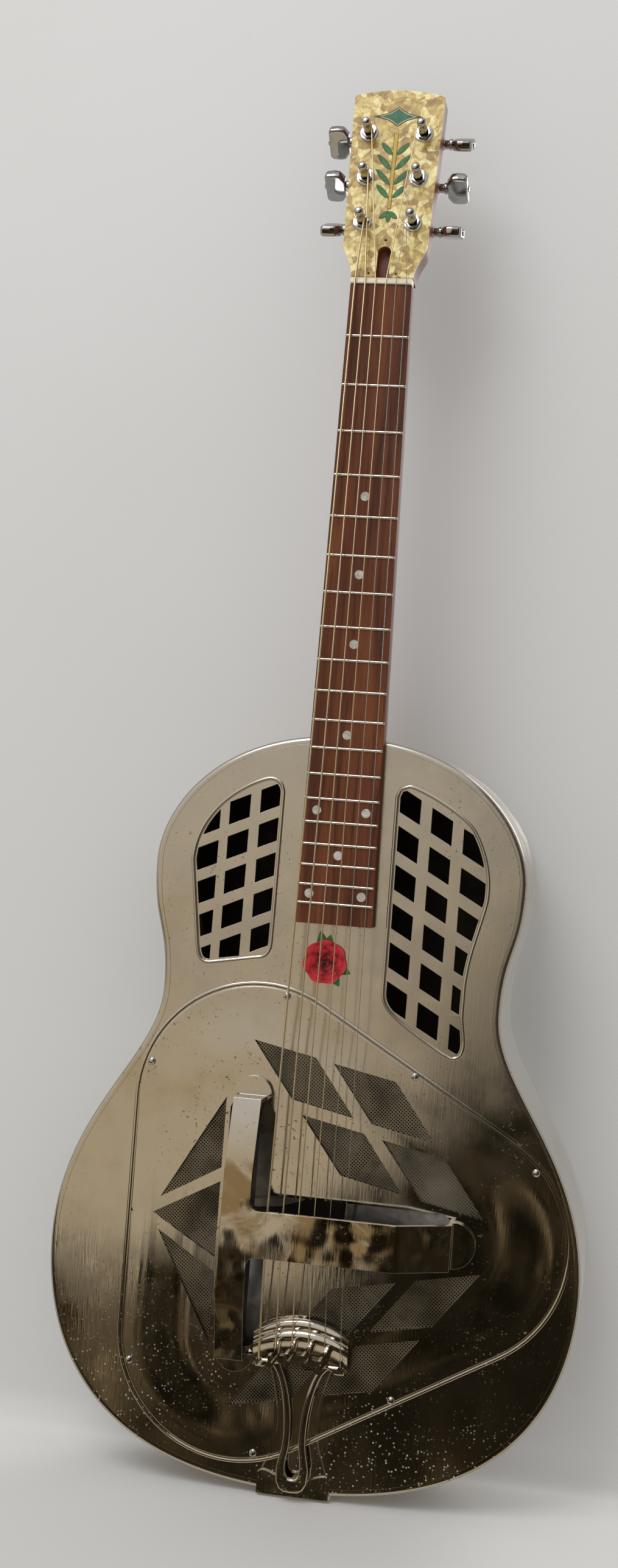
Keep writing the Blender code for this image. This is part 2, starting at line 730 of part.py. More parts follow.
def make_overlay():
    plate = prisms("headstock_overlay", [head_outline()], -OVERLAY, 0.0, head_matrix())
    holes = [circle(x, y, 4.8, 14) for x, y in post_places()] + [truss_slot(-5.0)]
    holes += [circle(0.0, 27.0, 0.8, 8), circle(-9.6, 2.6, 0.8, 8), circle(9.6, 2.6, 0.8, 8)]
    combine(plate, prisms("cutter", holes, -8.0, 8.0, head_matrix()))
    return finish(plate, "pearloid")


def make_stick():
    half = 17.5
    outline = [(-half, -75.0), (half, -75.0), (half, -47.0), (-half, -47.0)]
    loops = [[(x, y, z) for x, z in outline] for y in (SHOULDER_Y, TAIL_Y + 6.0)]
    return finish(loft("neck_stick", loops), "maple")


# Tuning machines ------------------------------------------------------------------------------


def tuner_matrix(index):
    """Post axis on z, button toward +x; the bass row is mirrored."""
    x, y = post_places()[index]
    turn = Matrix.Scale(-1, 4, (1, 0, 0)) if x < 0 else Matrix.Identity(4)
    return head_matrix() @ Matrix.Translation((x, y, 0)) @ turn


def side_matrix(offset, depth):
    """Carries a lathe axis along +x, at a given height up the head and depth behind its face."""
    return Matrix.Translation((0, offset, depth)) @ Matrix.Rotation(radians(90), 4, "Y")


def make_tuner(index):
    at = tuner_matrix(index)
    number = index + 1
    back = -HEAD_THICKNESS - GAP
    worm_y, worm_z = 4.5, back - 5.6
    box = rounded([(-9, -8), (9.5, -8), (9.5, 10), (-9, 10)], [3.5, 3.5, 3.5, 3.5], 3)
    housing = prisms(f"tuner_{number}_housing", [box], back - 11.5, back, at)
    bevel(housing, 1.0, 1, 60)
    combine(housing, lathe("cutter", [(3.3, back - 6.0), (3.3, 5.0)], 14, at))
    combine(housing, lathe("cutter", [(2.6, 3.0), (2.6, 20.0)], 12, at @ side_matrix(worm_y, worm_z)))
    finish(housing, "chrome")

    profile = [(2.7, back - 5.6), (2.7, 3.6), (3.1, 4.2), (3.1, 7.0), (2.6, 8.2), (2.3, 9.6), (2.3, 11.6)]
    profile += [(2.9, 12.8), (3.2, 14.2), (3.0, 15.4), (2.2, 16.4), (1.0, 16.9)]
    post = lathe(f"tuner_{number}_post", profile, 12, at)
    hole = lathe("cutter", [(0.6, -6.0), (0.6, 6.0)], 6, at @ side_matrix(0.0, 10.6))
    combine(post, hole)
    finish(post, "chrome")

    hexagon = circle(0, 0, 5.4, 6)
    bushing = prisms(f"tuner_{number}_bushing", [hexagon], 1.0, 3.1, at)
    combine(bushing, prisms("washer", [circle(0, 0, 6.4, 20)], GAP, 1.2, at), "UNION")
    combine(bushing, prisms("sleeve", [circle(0, 0, 4.4, 14)], -7.0, 1.1, at), "UNION")
    combine(bushing, lathe("cutter", [(3.4, -20.0), (3.4, 20.0)], 14, at))
    finish(bushing, "chrome")

    axis = at @ side_matrix(worm_y, worm_z)
    shaft = [(2.2, 3.6), (2.2, 9.9), (3.9, 9.9), (3.9, 11.2), (3.1, 11.8), (3.1, 15.2), (3.9, 15.6),
             (3.9, 17.2), (2.4, 17.4), (2.4, 20.0)]
    button = lathe(f"tuner_{number}_button", shaft, 14, axis)
    knob_half = [(6.0, 17.6), (10.4, 21.0), (11.3, 25.0), (10.6, 29.4), (7.6, 32.0)]
    knob_outline = [(-across, out) for across, out in knob_half] + knob_half[::-1]
    turn = radians(BUTTON_TURNS[index])
    knob_loops = []
    for thick, grow in ((-3.6, 0.86), (-3.1, 0.95), (-2.0, 1.0), (2.0, 1.0), (3.1, 0.95), (3.6, 0.86)):
        loop = []
        for across, out in knob_outline:
            along = 25.0 + (out - 25.0) * grow
            wide = across * grow
            loop.append((wide * cos(turn) - thick * sin(turn), wide * sin(turn) + thick * cos(turn), along))
        knob_loops.append(loop)
    knob = loft("knob", knob_loops, matrix=axis)
    combine(button, knob, "UNION")
    end = lathe("cap", [(1.9, 31.0), (1.9, 32.6), (1.2, 33.0)], 12, axis)
    combine(button, end, "UNION")
    finish(button, "chrome", 30)


# Strings and tail -----------------------------------------------------------------------------


def string_x(index, spread):
    return (index / 5 - 0.5) * spread


def tube(name, path, radius, sides):
    """A round rod along a path of points, its ends capped."""
    loops = []
    up = Vector((0.13, 0.21, 1.0)).normalized()
    for index, point in enumerate(path):
        here = Vector(point)
        ahead = Vector(path[min(index + 1, len(path) - 1)])
        behind = Vector(path[max(index - 1, 0)])
        along = (ahead - behind).normalized()
        side = along.cross(up).normalized()
        top = side.cross(along).normalized()
        loops.append([tuple(here + (side * cos(2 * pi * k / sides) + top * sin(2 * pi * k / sides)) * radius)
                      for k in range(sides)])
    return loft(name, loops)


def make_string(index):
    """From the keyhole of the tailpiece over the saddle and the nut to two turns round its post."""
    radius = STRING_RADII[index]
    order = (0, 1, 2, 5, 4, 3)
    post = tuner_matrix(order[index]) @ Vector((0, 0, 10.4))
    side = 1 if index < 3 else -1
    nut_x = string_x(index, NUT_SPREAD)
    saddle_x = string_x(index, SADDLE_SPREAD)
    tail_x = string_x(index, SADDLE_SPREAD + 2.5)
    drop = head_sag(tail_x)
    path = [(tail_x, -727.6 - drop, 6.0), (tail_x, -726.4 - drop, 8.3), (tail_x, -723.6 - drop, 10.2),
            (tail_x, -717.0 - drop, 12.4), (tail_x * 0.99, -706.0 - drop, 13.4),
            (saddle_x, SADDLE_Y - 3.0, STRING_AT_SADDLE - 0.3), (saddle_x, SADDLE_Y, STRING_AT_SADDLE),
            (saddle_x, SADDLE_Y + 3.0, STRING_AT_SADDLE - 0.05), (nut_x, -1.0, STRING_AT_NUT),
            (nut_x, 1.6, STRING_AT_NUT)]
    frame = head_matrix()
    wrap = 2.3 + 0.5 + radius
    start = Vector((nut_x, 1.6, STRING_AT_NUT))
    gap = post - start
    reach = sqrt(gap.x ** 2 + gap.y ** 2)
    towards = atan2(-gap.y, -gap.x)
    tangent = towards + side * acos(wrap / reach)
    local = tuner_matrix(order[index]).to_translation()
    turns = 1.6
    steps = 16
    for step in range(steps + 1):
        angle = tangent + side * 2 * pi * turns * step / steps
        lift = 11.2 - 1.5 * step / steps - (radius - 0.3)
        offset = frame.to_3x3() @ Vector((wrap * cos(angle), wrap * sin(angle), lift))
        path.append(tuple(local + offset))
    finish(tube(f"string_{index + 1}", path, radius, 6), "bronze" if index < 4 else "steel", 80)


def head_sag(x):
    """How far the tailpiece's curved head drops toward its ends."""
    return 56.0 - sqrt(56.0 ** 2 - x * x)


def make_tailpiece():
    bands = ((0.0, 6.2), (0.0, 8.4), (1.4, 10.4), (4.5, 11.0), (7.0, 10.2), (8.0, 9.0), (9.0, 10.2))
    slope = ((11.5, 10.9), (14.5, 10.4), (17.0, 9.2), (19.5, 8.4), (28.0, 7.6), (28.6, 7.0), (28.6, 5.8))
    over = (*bands, *slope, (28.0, 5.3), (18.0, 5.3), (8.0, 5.3), (1.0, 5.3))
    loops = []
    half = 32.5
    for step in range(11):
        x = -half + 2 * half * step / 10
        loops.append([(x, -703.5 - head_sag(x) * (1 - 0.45 * away / 28.6) - away, z) for away, z in over])
    tail = loft("tailpiece", loops)
    outer = [(30.0, -733.0), (31.0, -738.6), (25.0, -738.9)]
    outer += bezier((20.0, -736.0), (12.5, -741.0), (8.2, -762.0), (7.8, -782.0), 8)
    outer += bezier((7.8, -782.0), (7.9, -796.0), (11.6, -800.0), (11.2, -809.0), 5)
    outer += [(10.6, -814.0), (8.4, -818.5), (5.0, -820.6), (0.0, -821.0)]
    inner = [(0.0, -811.4)] + bezier((0.0, -811.4), (4.6, -811.4), (5.2, -806.0), (4.9, -802.0), 5)[1:]
    inner += bezier((4.9, -802.0), (4.4, -796.0), (2.9, -794.0), (2.8, -782.0), 4)
    inner += bezier((2.8, -782.0), (3.0, -762.0), (7.0, -748.0), (12.6, -736.5), 8)
    inner += [(12.6, -736.5), (13.6, -732.5), (0.0, -729.5)]
    frame = prisms("frame", [mirrored(outer)], 5.0, 8.9)
    bevel(frame, 0.9, 1, 50)
    combine(frame, prisms("cutter", [mirrored(inner)], -5.0, 30.0))
    combine(tail, frame, "UNION")
    foot = prisms("foot", [[(-8.0, -814.0), (8.0, -814.0), (8.0, -820.4), (-8.0, -820.4)]], 2.2, 6.0)
    combine(tail, foot, "UNION")
    holes = []
    for index in range(6):
        x = string_x(index, SADDLE_SPREAD + 2.5)
        y = -727.6 - head_sag(x)
        ring = [(x + 2.4 * cos(a), y + 2.4 * sin(a)) for a in (radians(113 + 31.4 * k) for k in range(11))]
        holes.append(ring + [(x + 0.95, y + 6.5), (x - 0.95, y + 6.5)])
    combine(tail, prisms("cutter", holes, 0.0, 30.0))
    return finish(tail, "nickel", 30)


def make_bracket():
    """A bent plate over the lower rim: a scalloped lip on the face, a leg down the tail."""
    lip = [(25.0, -825.9), (25.0, -812.0), (20.5, -808.5), (14.0, -813.0), (0.0, -814.5)]
    bracket = prisms("tail_bracket", [mirrored(lip)], GAP, 1.8)
    leg_outline = [(25.0, 1.8), (25.0, -8.0), (14.0, -44.0), (8.0, -50.0)]
    leg = mirrored(leg_outline)
    loops = [[(x, y, z) for x, z in leg] for y in (TAIL_Y - 1.9, TAIL_Y - 0.4)]
    combine(bracket, loft("leg", loops), "UNION")
    combine(bracket, lathe("cutter", [(3.5, -20), (3.5, 20)], 20, end_pin_matrix()))
    return finish(bracket, "nickel")


def make_end_pin():
    """The low, wide head of the screw that holds the tail bracket."""
    profile = [(3.1, -1.0), (3.1, 2.2), (6.8, 2.2), (6.9, 2.6), (4.6, 3.2)]
    return finish(lathe("end_pin", profile, 18, end_pin_matrix()), "chrome")


def main():
    clear_scene()
    outline = body_outline()
    make_band(outline)
    make_top(outline)
    make_back(outline)
    make_well()
    make_cones()
    make_cover()
    make_screens()
    make_cover_screws()
    make_bridge()
    make_saddle()
    make_palm_rest()
    make_neck()
    make_stick()
    make_fretboard()
    make_nut()
    make_overlay()
    for index in range(6):
        make_tuner(index)
    for index in range(6):
        make_string(index)
    make_tailpiece()
    make_bracket()
    make_end_pin()


main()
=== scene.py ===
"""Looks of the three-cone resonator guitar: worn nickel shell, woven screens, wood, pearloid and chrome.

Lengths are millimetres in the guitar's own frame: x to the treble side, y from the nut toward the
head, z out of the face. place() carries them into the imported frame, in metres.
"""

from math import acos, atan2, cos, hypot, pi, radians, sin, sqrt, tan

import bmesh
import bpy
from mathutils import Matrix, Vector


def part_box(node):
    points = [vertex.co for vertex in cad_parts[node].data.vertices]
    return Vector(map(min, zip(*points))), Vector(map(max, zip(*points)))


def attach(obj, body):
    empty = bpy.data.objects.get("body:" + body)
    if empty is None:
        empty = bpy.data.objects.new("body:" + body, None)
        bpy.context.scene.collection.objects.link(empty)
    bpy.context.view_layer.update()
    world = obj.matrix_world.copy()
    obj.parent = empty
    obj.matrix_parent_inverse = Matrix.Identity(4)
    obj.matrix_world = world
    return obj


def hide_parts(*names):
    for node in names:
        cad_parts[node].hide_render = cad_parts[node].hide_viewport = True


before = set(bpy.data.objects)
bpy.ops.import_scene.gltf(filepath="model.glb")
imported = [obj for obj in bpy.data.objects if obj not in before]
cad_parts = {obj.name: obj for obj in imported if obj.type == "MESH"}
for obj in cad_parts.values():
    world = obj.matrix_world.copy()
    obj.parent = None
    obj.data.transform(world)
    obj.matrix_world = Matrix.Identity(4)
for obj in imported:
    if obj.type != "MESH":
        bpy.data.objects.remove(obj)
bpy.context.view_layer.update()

MM = 0.001
GAP = 0.3
FACE_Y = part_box("body_top")[0].y
NUT_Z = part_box("nut")[0].z - GAP * MM

SCALE_LENGTH = 635.0
FRETS = 19
NUT_WIDTH = 42.4
TWELFTH_WIDTH = 50.8
BOARD_END = 437.0
BOARD_TOP = 8.0

SHOULDER_Y = -309.7
HEEL_FLAT = 22.0
UPPER_BOUT = (128.9, -403.0)
WAIST = (117.1, -489.6)
LOWER_BOUT = (183.9, -670.5)
TAIL_Y = -824.0
BODY_DEPTH = 82.0
SHEET = 1.3
RIM_RADIUS = 3.0
RIM_FLANGE = 4.6
LIP_BEAD = ((-2.7, -0.5), (-2.5, 0.05), (-1.9, 0.38), (-1.2, 0.5), (-0.5, 0.32), (-0.1, -0.15),
            (0.1, -0.8), (0.1, -1.3), (-0.7, -1.4), (-1.6, -1.2))
WINDOW_COLUMNS = {
    "bass": ((-110.0, -86.0), (-79.5, -65.4), (-58.2, -40.0)),
    "treble": ((30.0, 53.0), (61.0, 75.6), (83.6, 110.0)),
}

COVER_CENTRE_Y = -644.0
COVER_CORNER_OUT = 91.2
COVER_RADIUS = 85.0
COVER_TOP = 4.0
WELL_INSET = 8.4
END_BORE = 3.5

REST_TOP = 35.0
REST_SHEET = 3.2
SADDLE_Y = -641.0
STRING_AT_NUT = 10.3
STRING_AT_SADDLE = 23.6
STRING_RADII = (0.70, 0.58, 0.46, 0.36, 0.27, 0.25)
NUT_SPREAD = 35.5
SADDLE_SPREAD = 53.5

HEAD_TILT = radians(8.0)
HEAD_START = 5.4
HEAD_LENGTH = 134.0
HEAD_THICKNESS = 15.0
HEAD_HALF_TOP = 31.8
HEAD_HALF_LOW = 29.2
OVERLAY = 1.2
POST_FIRST = 40.0
POST_SPACING = 33.0
POST_HALF_LOW = 17.6
POST_HALF_TOP = 19.2
POST_BORE = 4.8
BUTTON_TURNS = (33.0, -22.0, -35.0, 23.0, -21.0, 35.0)


def place(point):
    x, y, z = point
    return Vector((x * MM, FACE_Y - z * MM, NUT_Z + y * MM))


# Mesh helpers ---------------------------------------------------------------------------------


def object_of(name, mesh):
    made = bpy.data.objects.new(name, mesh)
    bpy.context.scene.collection.objects.link(made)
    return made


def mesh_object(name, points, faces, matrix=None):
    work = bmesh.new()
    if matrix is not None:
        points = [matrix @ Vector(point) for point in points]
    corners = [work.verts.new(place(point)) for point in points]
    for face in faces:
        work.faces.new([corners[index] for index in face])
    bmesh.ops.recalc_face_normals(work, faces=work.faces)
    mesh = bpy.data.meshes.new(name)
    work.to_mesh(mesh)
    work.free()
    return object_of(name, mesh)


def loft(name, loops, closed=False, matrix=None):
    """Joins equal loops of points. An open loft is capped at both ends, a closed one forms a ring."""
    count = len(loops[0])
    points = [point for loop in loops for point in loop]
    faces = []
    for step in range(len(loops) if closed else len(loops) - 1):
        here = step * count
        there = (step + 1) % len(loops) * count
        for index in range(count):
            after = (index + 1) % count
            faces.append((here + index, here + after, there + after, there + index))
    if not closed:
        faces.append(tuple(range(count)))
        faces.append(tuple(range((len(loops) - 1) * count, len(loops) * count)))
    return mesh_object(name, points, faces, matrix)


def prisms(name, outlines, low, high, matrix=None):
    """One mesh of separate upright prisms, one for each outline of (x, y)."""
    points = []
    faces = []
    for outline in outlines:
        count = len(outline)
        first = len(points)
        points += [(x, y, low) for x, y in outline]
        points += [(x, y, high) for x, y in outline]
        faces.append(tuple(range(first, first + count)))
        faces.append(tuple(range(first + count, first + 2 * count)))
        for index in range(count):
            after = (index + 1) % count
            faces.append((first + index, first + after, first + count + after, first + count + index))
    return mesh_object(name, points, faces, matrix)


def lathe(name, profile, steps, matrix=None):
    """Turns (radius, height) pairs about the frame's z, from one end of the axis to the other."""
    loops = [[(x, y, height) for x, y in circle(0, 0, radius, steps)] for radius, height in profile]
    return loft(name, loops, matrix=matrix)


def plate(name, outlines, low, high, edge=0.25, matrix=None):
    """A flat plate with rounded edges. The first outline is its border, the others are holes."""
    curve = bpy.data.curves.new(name, "CURVE")
    curve.dimensions = "2D"
    curve.fill_mode = "BOTH"
    curve.extrude = (high - low) / 2 - edge
    curve.bevel_depth = edge
    curve.bevel_resolution = 2
    curve.offset = -edge
    for index, outline in enumerate(outlines):
        turned = outline if (area_of(outline) > 0) == (index == 0) else outline[::-1]
        spline = curve.splines.new("POLY")
        spline.points.add(len(turned) - 1)
        for point, (x, y) in zip(spline.points, turned):
            point.co = (x, y, 0.0, 1.0)
        spline.use_cyclic_u = True
    guide = object_of("guide", curve)
    mesh = evaluated_mesh(guide)
    bpy.data.objects.remove(guide)
    work = bmesh.new()
    work.from_mesh(mesh)
    bmesh.ops.remove_doubles(work, verts=work.verts, dist=0.002)
    for vert in work.verts:
        point = vert.co + Vector((0.0, 0.0, (low + high) / 2))
        vert.co = place(point if matrix is None else matrix @ point)
    bmesh.ops.recalc_face_normals(work, faces=work.faces)
    work.to_mesh(mesh)
    work.free()
    return object_of(name, mesh)


def area_of(outline):
    return sum(outline[k - 1][0] * outline[k][1] - outline[k][0] * outline[k - 1][1]
               for k in range(len(outline))) / 2


def evaluated_mesh(obj):
    bpy.context.view_layer.update()
    graph = bpy.context.evaluated_depsgraph_get()
    return bpy.data.meshes.new_from_object(obj.evaluated_get(graph))


def bake(obj):
    made = evaluated_mesh(obj)
    obj.modifiers.clear()
    obj.data = made


def combine(obj, other, operation="DIFFERENCE"):
    step = obj.modifiers.new("cut", "BOOLEAN")
    step.operation = operation
    step.solver = "EXACT"
    step.object = other
    step.use_self = operation == "UNION"
    bake(obj)
    bpy.data.objects.remove(other)


def cut(obj, outlines, low, high, matrix=None):
    combine(obj, prisms("cutter", outlines, low, high, matrix))


def drill(obj, radius, low, high, steps, matrix):
    combine(obj, lathe("cutter", [(radius, low), (radius, high)], steps, matrix))


def bevel(obj, width, segments=2, limit=30):
    step = obj.modifiers.new("bevel", "BEVEL")
    step.width = width * MM
    step.segments = segments
    step.limit_method = "ANGLE"
    step.angle_limit = radians(limit)
    bake(obj)


def dress(obj, kind):
    obj.data.materials.clear()
    obj.data.materials.append(MATERIALS[kind])


def finish(obj, kind, node=None, body="guitar", crease=35):
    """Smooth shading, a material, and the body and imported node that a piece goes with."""
    obj.data.shade_smooth()
    obj.data.set_sharp_from_angle(angle=radians(crease))
    dress(obj, kind)
    even = obj.modifiers.new("normals", "WEIGHTED_NORMAL")
    even.keep_sharp = True
    even.weight = 80
    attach(obj, body)
    if node:
        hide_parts(node)


def bezier(first, second, third, last, steps):
    """Points from first up to, but not including, last."""
    found = []
    for step in range(steps):
        t = step / steps
        weights = ((1 - t) ** 3, 3 * (1 - t) ** 2 * t, 3 * (1 - t) * t * t, t ** 3)
        found.append(tuple(sum(w * p[axis] for w, p in zip(weights, (first, second, third, last)))
                           for axis in (0, 1)))
    return found


def mirrored(half):
    other = [(-x, y) for x, y in reversed(half) if abs(x) > 1e-6]
    return list(half) + other


def inset(outline, distance):
    """Moves a closed outline inward along its normals."""
    count = len(outline)
    side = 1 if area_of(outline) > 0 else -1
    moved = []
    for index in range(count):
        before = outline[index - 1]
        after = outline[(index + 1) % count]
        dx = after[0] - before[0]
        dy = after[1] - before[1]
        size = hypot(dx, dy)
        x, y = outline[index]
        moved.append((x - side * dy / size * distance, y + side * dx / size * distance))
    return moved


def rectangle(left, low, right, high):
    return [(left, low), (right, low), (right, high), (left, high)]


def circle(x, y, radius, steps=16):
    angles = [2 * pi * k / steps for k in range(steps)]
    return [(x + radius * cos(a), y + radius * sin(a)) for a in angles]


def rounded(corners, radii, steps=6):
    """A polygon with its corners rounded; radii holds one radius for each corner."""
    found = []
    count = len(corners)
    for index, (corner, radius) in enumerate(zip(corners, radii)):
        here = Vector(corner)
        before = (Vector(corners[index - 1]) - here).normalized()
        after = (Vector(corners[(index + 1) % count]) - here).normalized()
        if radius <= 0:
            found.append(tuple(here))
            continue
        half = acos(max(-1.0, min(1.0, before.dot(after)))) / 2
        centre = here + (before + after).normalized() * (radius / sin(half))
        enter = here + before * (radius / tan(half)) - centre
        leave = here + after * (radius / tan(half)) - centre
        start = atan2(enter.y, enter.x)
        turn = (atan2(leave.y, leave.x) - start + pi) % (2 * pi) - pi
        for step in range(steps + 1):
            angle = start + turn * step / steps
            found.append((centre.x + radius * cos(angle), centre.y + radius * sin(angle)))
    return found


def clipped(outline, window):
    """The part of a closed outline that lies inside a convex window."""
    sign = 1 if area_of(window) > 0 else -1
    for index in range(len(window)):
        ax, ay = window[index - 1]
        bx, by = window[index]

        def inside(point):
            return sign * ((bx - ax) * (point[1] - ay) - (by - ay) * (point[0] - ax))

        kept = []
        for k, here in enumerate(outline):
            before = outline[k - 1]
            was, now = inside(before), inside(here)
            if (was < 0) != (now < 0):
                share = was / (was - now)
                kept.append(tuple(before[axis] + (here[axis] - before[axis]) * share for axis in (0, 1)))
            if now >= 0:
                kept.append(here)
        outline = kept
        if not outline:
            break
    return outline


def smooth_profile(points, steps):
    """A Catmull-Rom curve through (radius, height) pairs."""
    found = []
    for index in range(len(points) - 1):
        p0 = points[max(index - 1, 0)]
        p1, p2 = points[index], points[index + 1]
        p3 = points[min(index + 2, len(points) - 1)]
        for step in range(steps):
            t = step / steps
            found.append(tuple(
                0.5 * (2 * b + (c - a) * t + (2 * a - 5 * b + 4 * c - d) * t * t
                       + (3 * b - a - 3 * c + d) * t ** 3)
                for a, b, c, d in zip(p0, p1, p2, p3)))
    found.append(points[-1])
    return found


def tube(name, path, radius, sides):
    """A round rod along a path of points, its ends capped."""
    loops = []
    up = Vector((0.13, 0.21, 1.0)).normalized()
    for index, point in enumerate(path):
        ahead = Vector(path[min(index + 1, len(path) - 1)])
        behind = Vector(path[max(index - 1, 0)])
        along = (ahead - behind).normalized()
        side = along.cross(up).normalized()
        top = side.cross(along).normalized()
        loops.append([tuple(Vector(point) + side * x + top * y) for x, y in circle(0, 0, radius, sides)])
    return loft(name, loops)


# Materials ------------------------------------------------------------------------------------


class Graph:
    """Short calls for the nodes of one material or world."""

    def __init__(self, tree, where="Object"):
        self.tree = tree
        self.where = self.add("ShaderNodeTexCoord").outputs[where]

    def look(self, colour=None, normal=None, roughness=None, metallic=None):
        """Feeds a Principled shader what is given."""
        sockets = self.tree.nodes["Principled BSDF"].inputs
        given = {"Base Color": colour, "Normal": normal, "Roughness": roughness, "Metallic": metallic}
        for name, value in given.items():
            if value is not None:
                self.feed(sockets[name], value)

    def feed(self, socket, value):
        if isinstance(value, bpy.types.NodeSocket):
            self.tree.links.new(value, socket)
        else:
            socket.default_value = value

    def add(self, kind, inputs=None, **settings):
        node = self.tree.nodes.new(kind)
        for key, value in settings.items():
            setattr(node, key, value)
        for key, value in (inputs or {}).items():
            self.feed(node.inputs[key], value)
        return node

    def stretch(self, x, y, z):
        return self.add("ShaderNodeMapping", {"Vector": self.where, "Scale": (x, y, z)}).outputs["Vector"]

    def noise(self, scale, detail=3.0, rough=0.5, warp=0.0, where=None):
        inputs = {"Vector": where or self.where, "Scale": scale, "Detail": detail, "Roughness": rough,
                  "Distortion": warp}
        return self.add("ShaderNodeTexNoise", inputs).outputs["Fac"]

    def cells(self, scale, out="Distance", feature="F1", where=None):
        inputs = {"Vector": where or self.where, "Scale": scale}
        return self.add("ShaderNodeTexVoronoi", inputs, feature=feature).outputs[out]

    def span(self, value, low, high, to_low=0.0, to_high=1.0):
        inputs = {"Value": value, "From Min": low, "From Max": high, "To Min": to_low, "To Max": to_high}
        return self.add("ShaderNodeMapRange", inputs, interpolation_type="SMOOTHSTEP").outputs["Result"]

    def math(self, operation, one, two=0.0):
        return self.add("ShaderNodeMath", {0: one, 1: two}, operation=operation).outputs[0]

    def times(self, one, two):
        return self.math("MULTIPLY", one, two)

    def plus(self, one, two):
        return self.math("ADD", one, two)

    def mix(self, share, one, two):
        node = self.add("ShaderNodeMix", data_type="RGBA")
        self.feed(node.inputs[0], share)
        for socket, value in ((node.inputs[6], one), (node.inputs[7], two)):
            self.feed(socket, value if isinstance(value, bpy.types.NodeSocket) else (*value, 1.0))
        return node.outputs[2]

    def ramp(self, value, *stops):
        node = self.add("ShaderNodeValToRGB", {"Fac": value})
        while len(node.color_ramp.elements) < len(stops):
            node.color_ramp.elements.new(0.5)
        for element, (position, colour) in zip(node.color_ramp.elements, stops):
            element.position = position
            element.color = (*colour, 1.0)
        return node.outputs["Color"]

    def bump(self, height, distance, normal=None):
        inputs = {"Height": height, "Distance": distance * MM, "Strength": 1.0}
        node = self.add("ShaderNodeBump", inputs)
        if normal is not None:
            self.feed(node.inputs["Normal"], normal)
        return node.outputs["Normal"]

    def split(self, vector=None):
        return self.add("ShaderNodeSeparateXYZ", {"Vector": vector or self.where}).outputs


def surface(name, metallic=0.0, roughness=0.4, coat=0.0):
    """A new material and its graph."""
    material = bpy.data.materials.new(name)
    material.use_nodes = True
    shader = material.node_tree.nodes["Principled BSDF"]
    shader.inputs["Metallic"].default_value = metallic
    shader.inputs["Roughness"].default_value = roughness
    shader.inputs["Coat Weight"].default_value = coat
    shader.inputs["Specular IOR Level"].default_value = 0.5 if metallic else 0.3
    return material, Graph(material.node_tree)


def nickel(name, polish=0.0, pitted=1.0, wobble=8.0):
    """Worn nickel plate: warm and satin higher up, mirror-like and pitted toward the tail."""
    material, g = surface(name, 1.0)
    height = g.split()[2]
    low = g.span(g.plus(height, g.times(g.noise(9.0), 0.1)), 0.44, 0.24)
    clean = g.mix(g.noise(14.0, 4.0), (0.60, 0.57, 0.52), (0.66, 0.61, 0.53))
    tarnish = g.span(g.noise(11.0, 6.0, 0.62, 0.6), 0.52, 0.78)
    colour = g.mix(g.times(tarnish, 0.7), clean, (0.50, 0.41, 0.24))
    freckle = g.span(g.noise(420.0, 3.0, 0.6), 0.63, 0.70)
    freckle = g.times(freckle, g.span(g.noise(22.0, 3.0), 0.42, 0.60))
    colour = g.mix(g.times(freckle, 0.75), colour, (0.20, 0.14, 0.07))
    spots = g.span(g.cells(430.0), 0.34, 0.14)
    chosen = g.span(g.split(g.cells(430.0, "Color"))[0], 0.45, 0.75)
    region = g.times(g.span(height, 0.16, 0.03), g.span(g.noise(15.0, 3.0), 0.40, 0.62))
    pits = g.times(g.times(spots, chosen), g.times(region, pitted))
    colour = g.mix(pits, colour, (0.50, 0.49, 0.45))
    g.look(colour=colour, metallic=g.math("SUBTRACT", 1.0, g.times(pits, 0.85)))
    satin = g.span(g.noise(30.0, 5.0, 0.6), 0.3, 0.7, 0.17 - polish, 0.27 - polish)
    glossy = g.span(g.noise(40.0, 4.0), 0.3, 0.7, 0.03, 0.10)
    rough = g.add("ShaderNodeMix", {0: low, 2: satin, 3: glossy}).outputs[0]
    rough = g.plus(rough, g.times(g.math("MAXIMUM", pits, freckle), 0.4))
    g.look(roughness=rough)
    scratch = g.noise(60.0, 2.0, 0.5, 0.0, g.stretch(14.0, 14.0, 1.2))
    waves = g.bump(g.noise(wobble, 1.0), 0.9)
    fine = g.bump(g.plus(scratch, g.times(pits, 3.0)), 0.01, waves)
    g.look(normal=fine)
    return material


def palm_nickel():
    """Nickel with a painted reflection: its level part gets a darker, mottled brown base colour for the darker
    room it would mirror, unlike its sloping ends.
    """
    material = nickel("nickel_palm_rest", 0.10, 0.2, 40.0)
    g = Graph(material.node_tree)
    own = g.tree.nodes["Principled BSDF"].inputs["Base Color"].links[0].from_socket
    level = g.span(g.split()[1], FACE_Y - 0.0325, FACE_Y - 0.0345)
    painted_reflection_patch = g.span(g.noise(26.0, 4.0, 0.6, 1.2), 0.40, 0.56)
    # Painted reflection: a mottled dark brown painted into the base colour of the level part only.
    g.look(colour=g.mix(g.times(level, painted_reflection_patch), own, (0.36, 0.28, 0.17)))
    return material


def dark_inside():
    # Near-black base colour with random tone: painted shade for the inside of the closed body, used on the sound
    # well and on the sheet inside the back.
    material, g = surface("painted_shade_inside", 0.6)
    g.look(colour=g.mix(g.noise(25.0, 4.0), (0.012, 0.010, 0.008), (0.05, 0.04, 0.03)))
    g.look(roughness=g.span(g.noise(60.0), 0.3, 0.7, 0.45, 0.7))
    return material


def plain_metal(name, light, deep, rough_low, rough_high, grain=80.0):
    """Polished or brushed metal with smudges."""
    material, g = surface(name, 1.0)
    g.look(colour=g.mix(g.span(g.noise(grain, 4.0, 0.6), 0.35, 0.75), light, deep))
    g.look(roughness=g.span(g.noise(grain * 1.7, 4.0), 0.3, 0.75, rough_low, rough_high))
    g.look(normal=g.bump(g.noise(grain * 12.0, 2.0), 0.006))
    return material


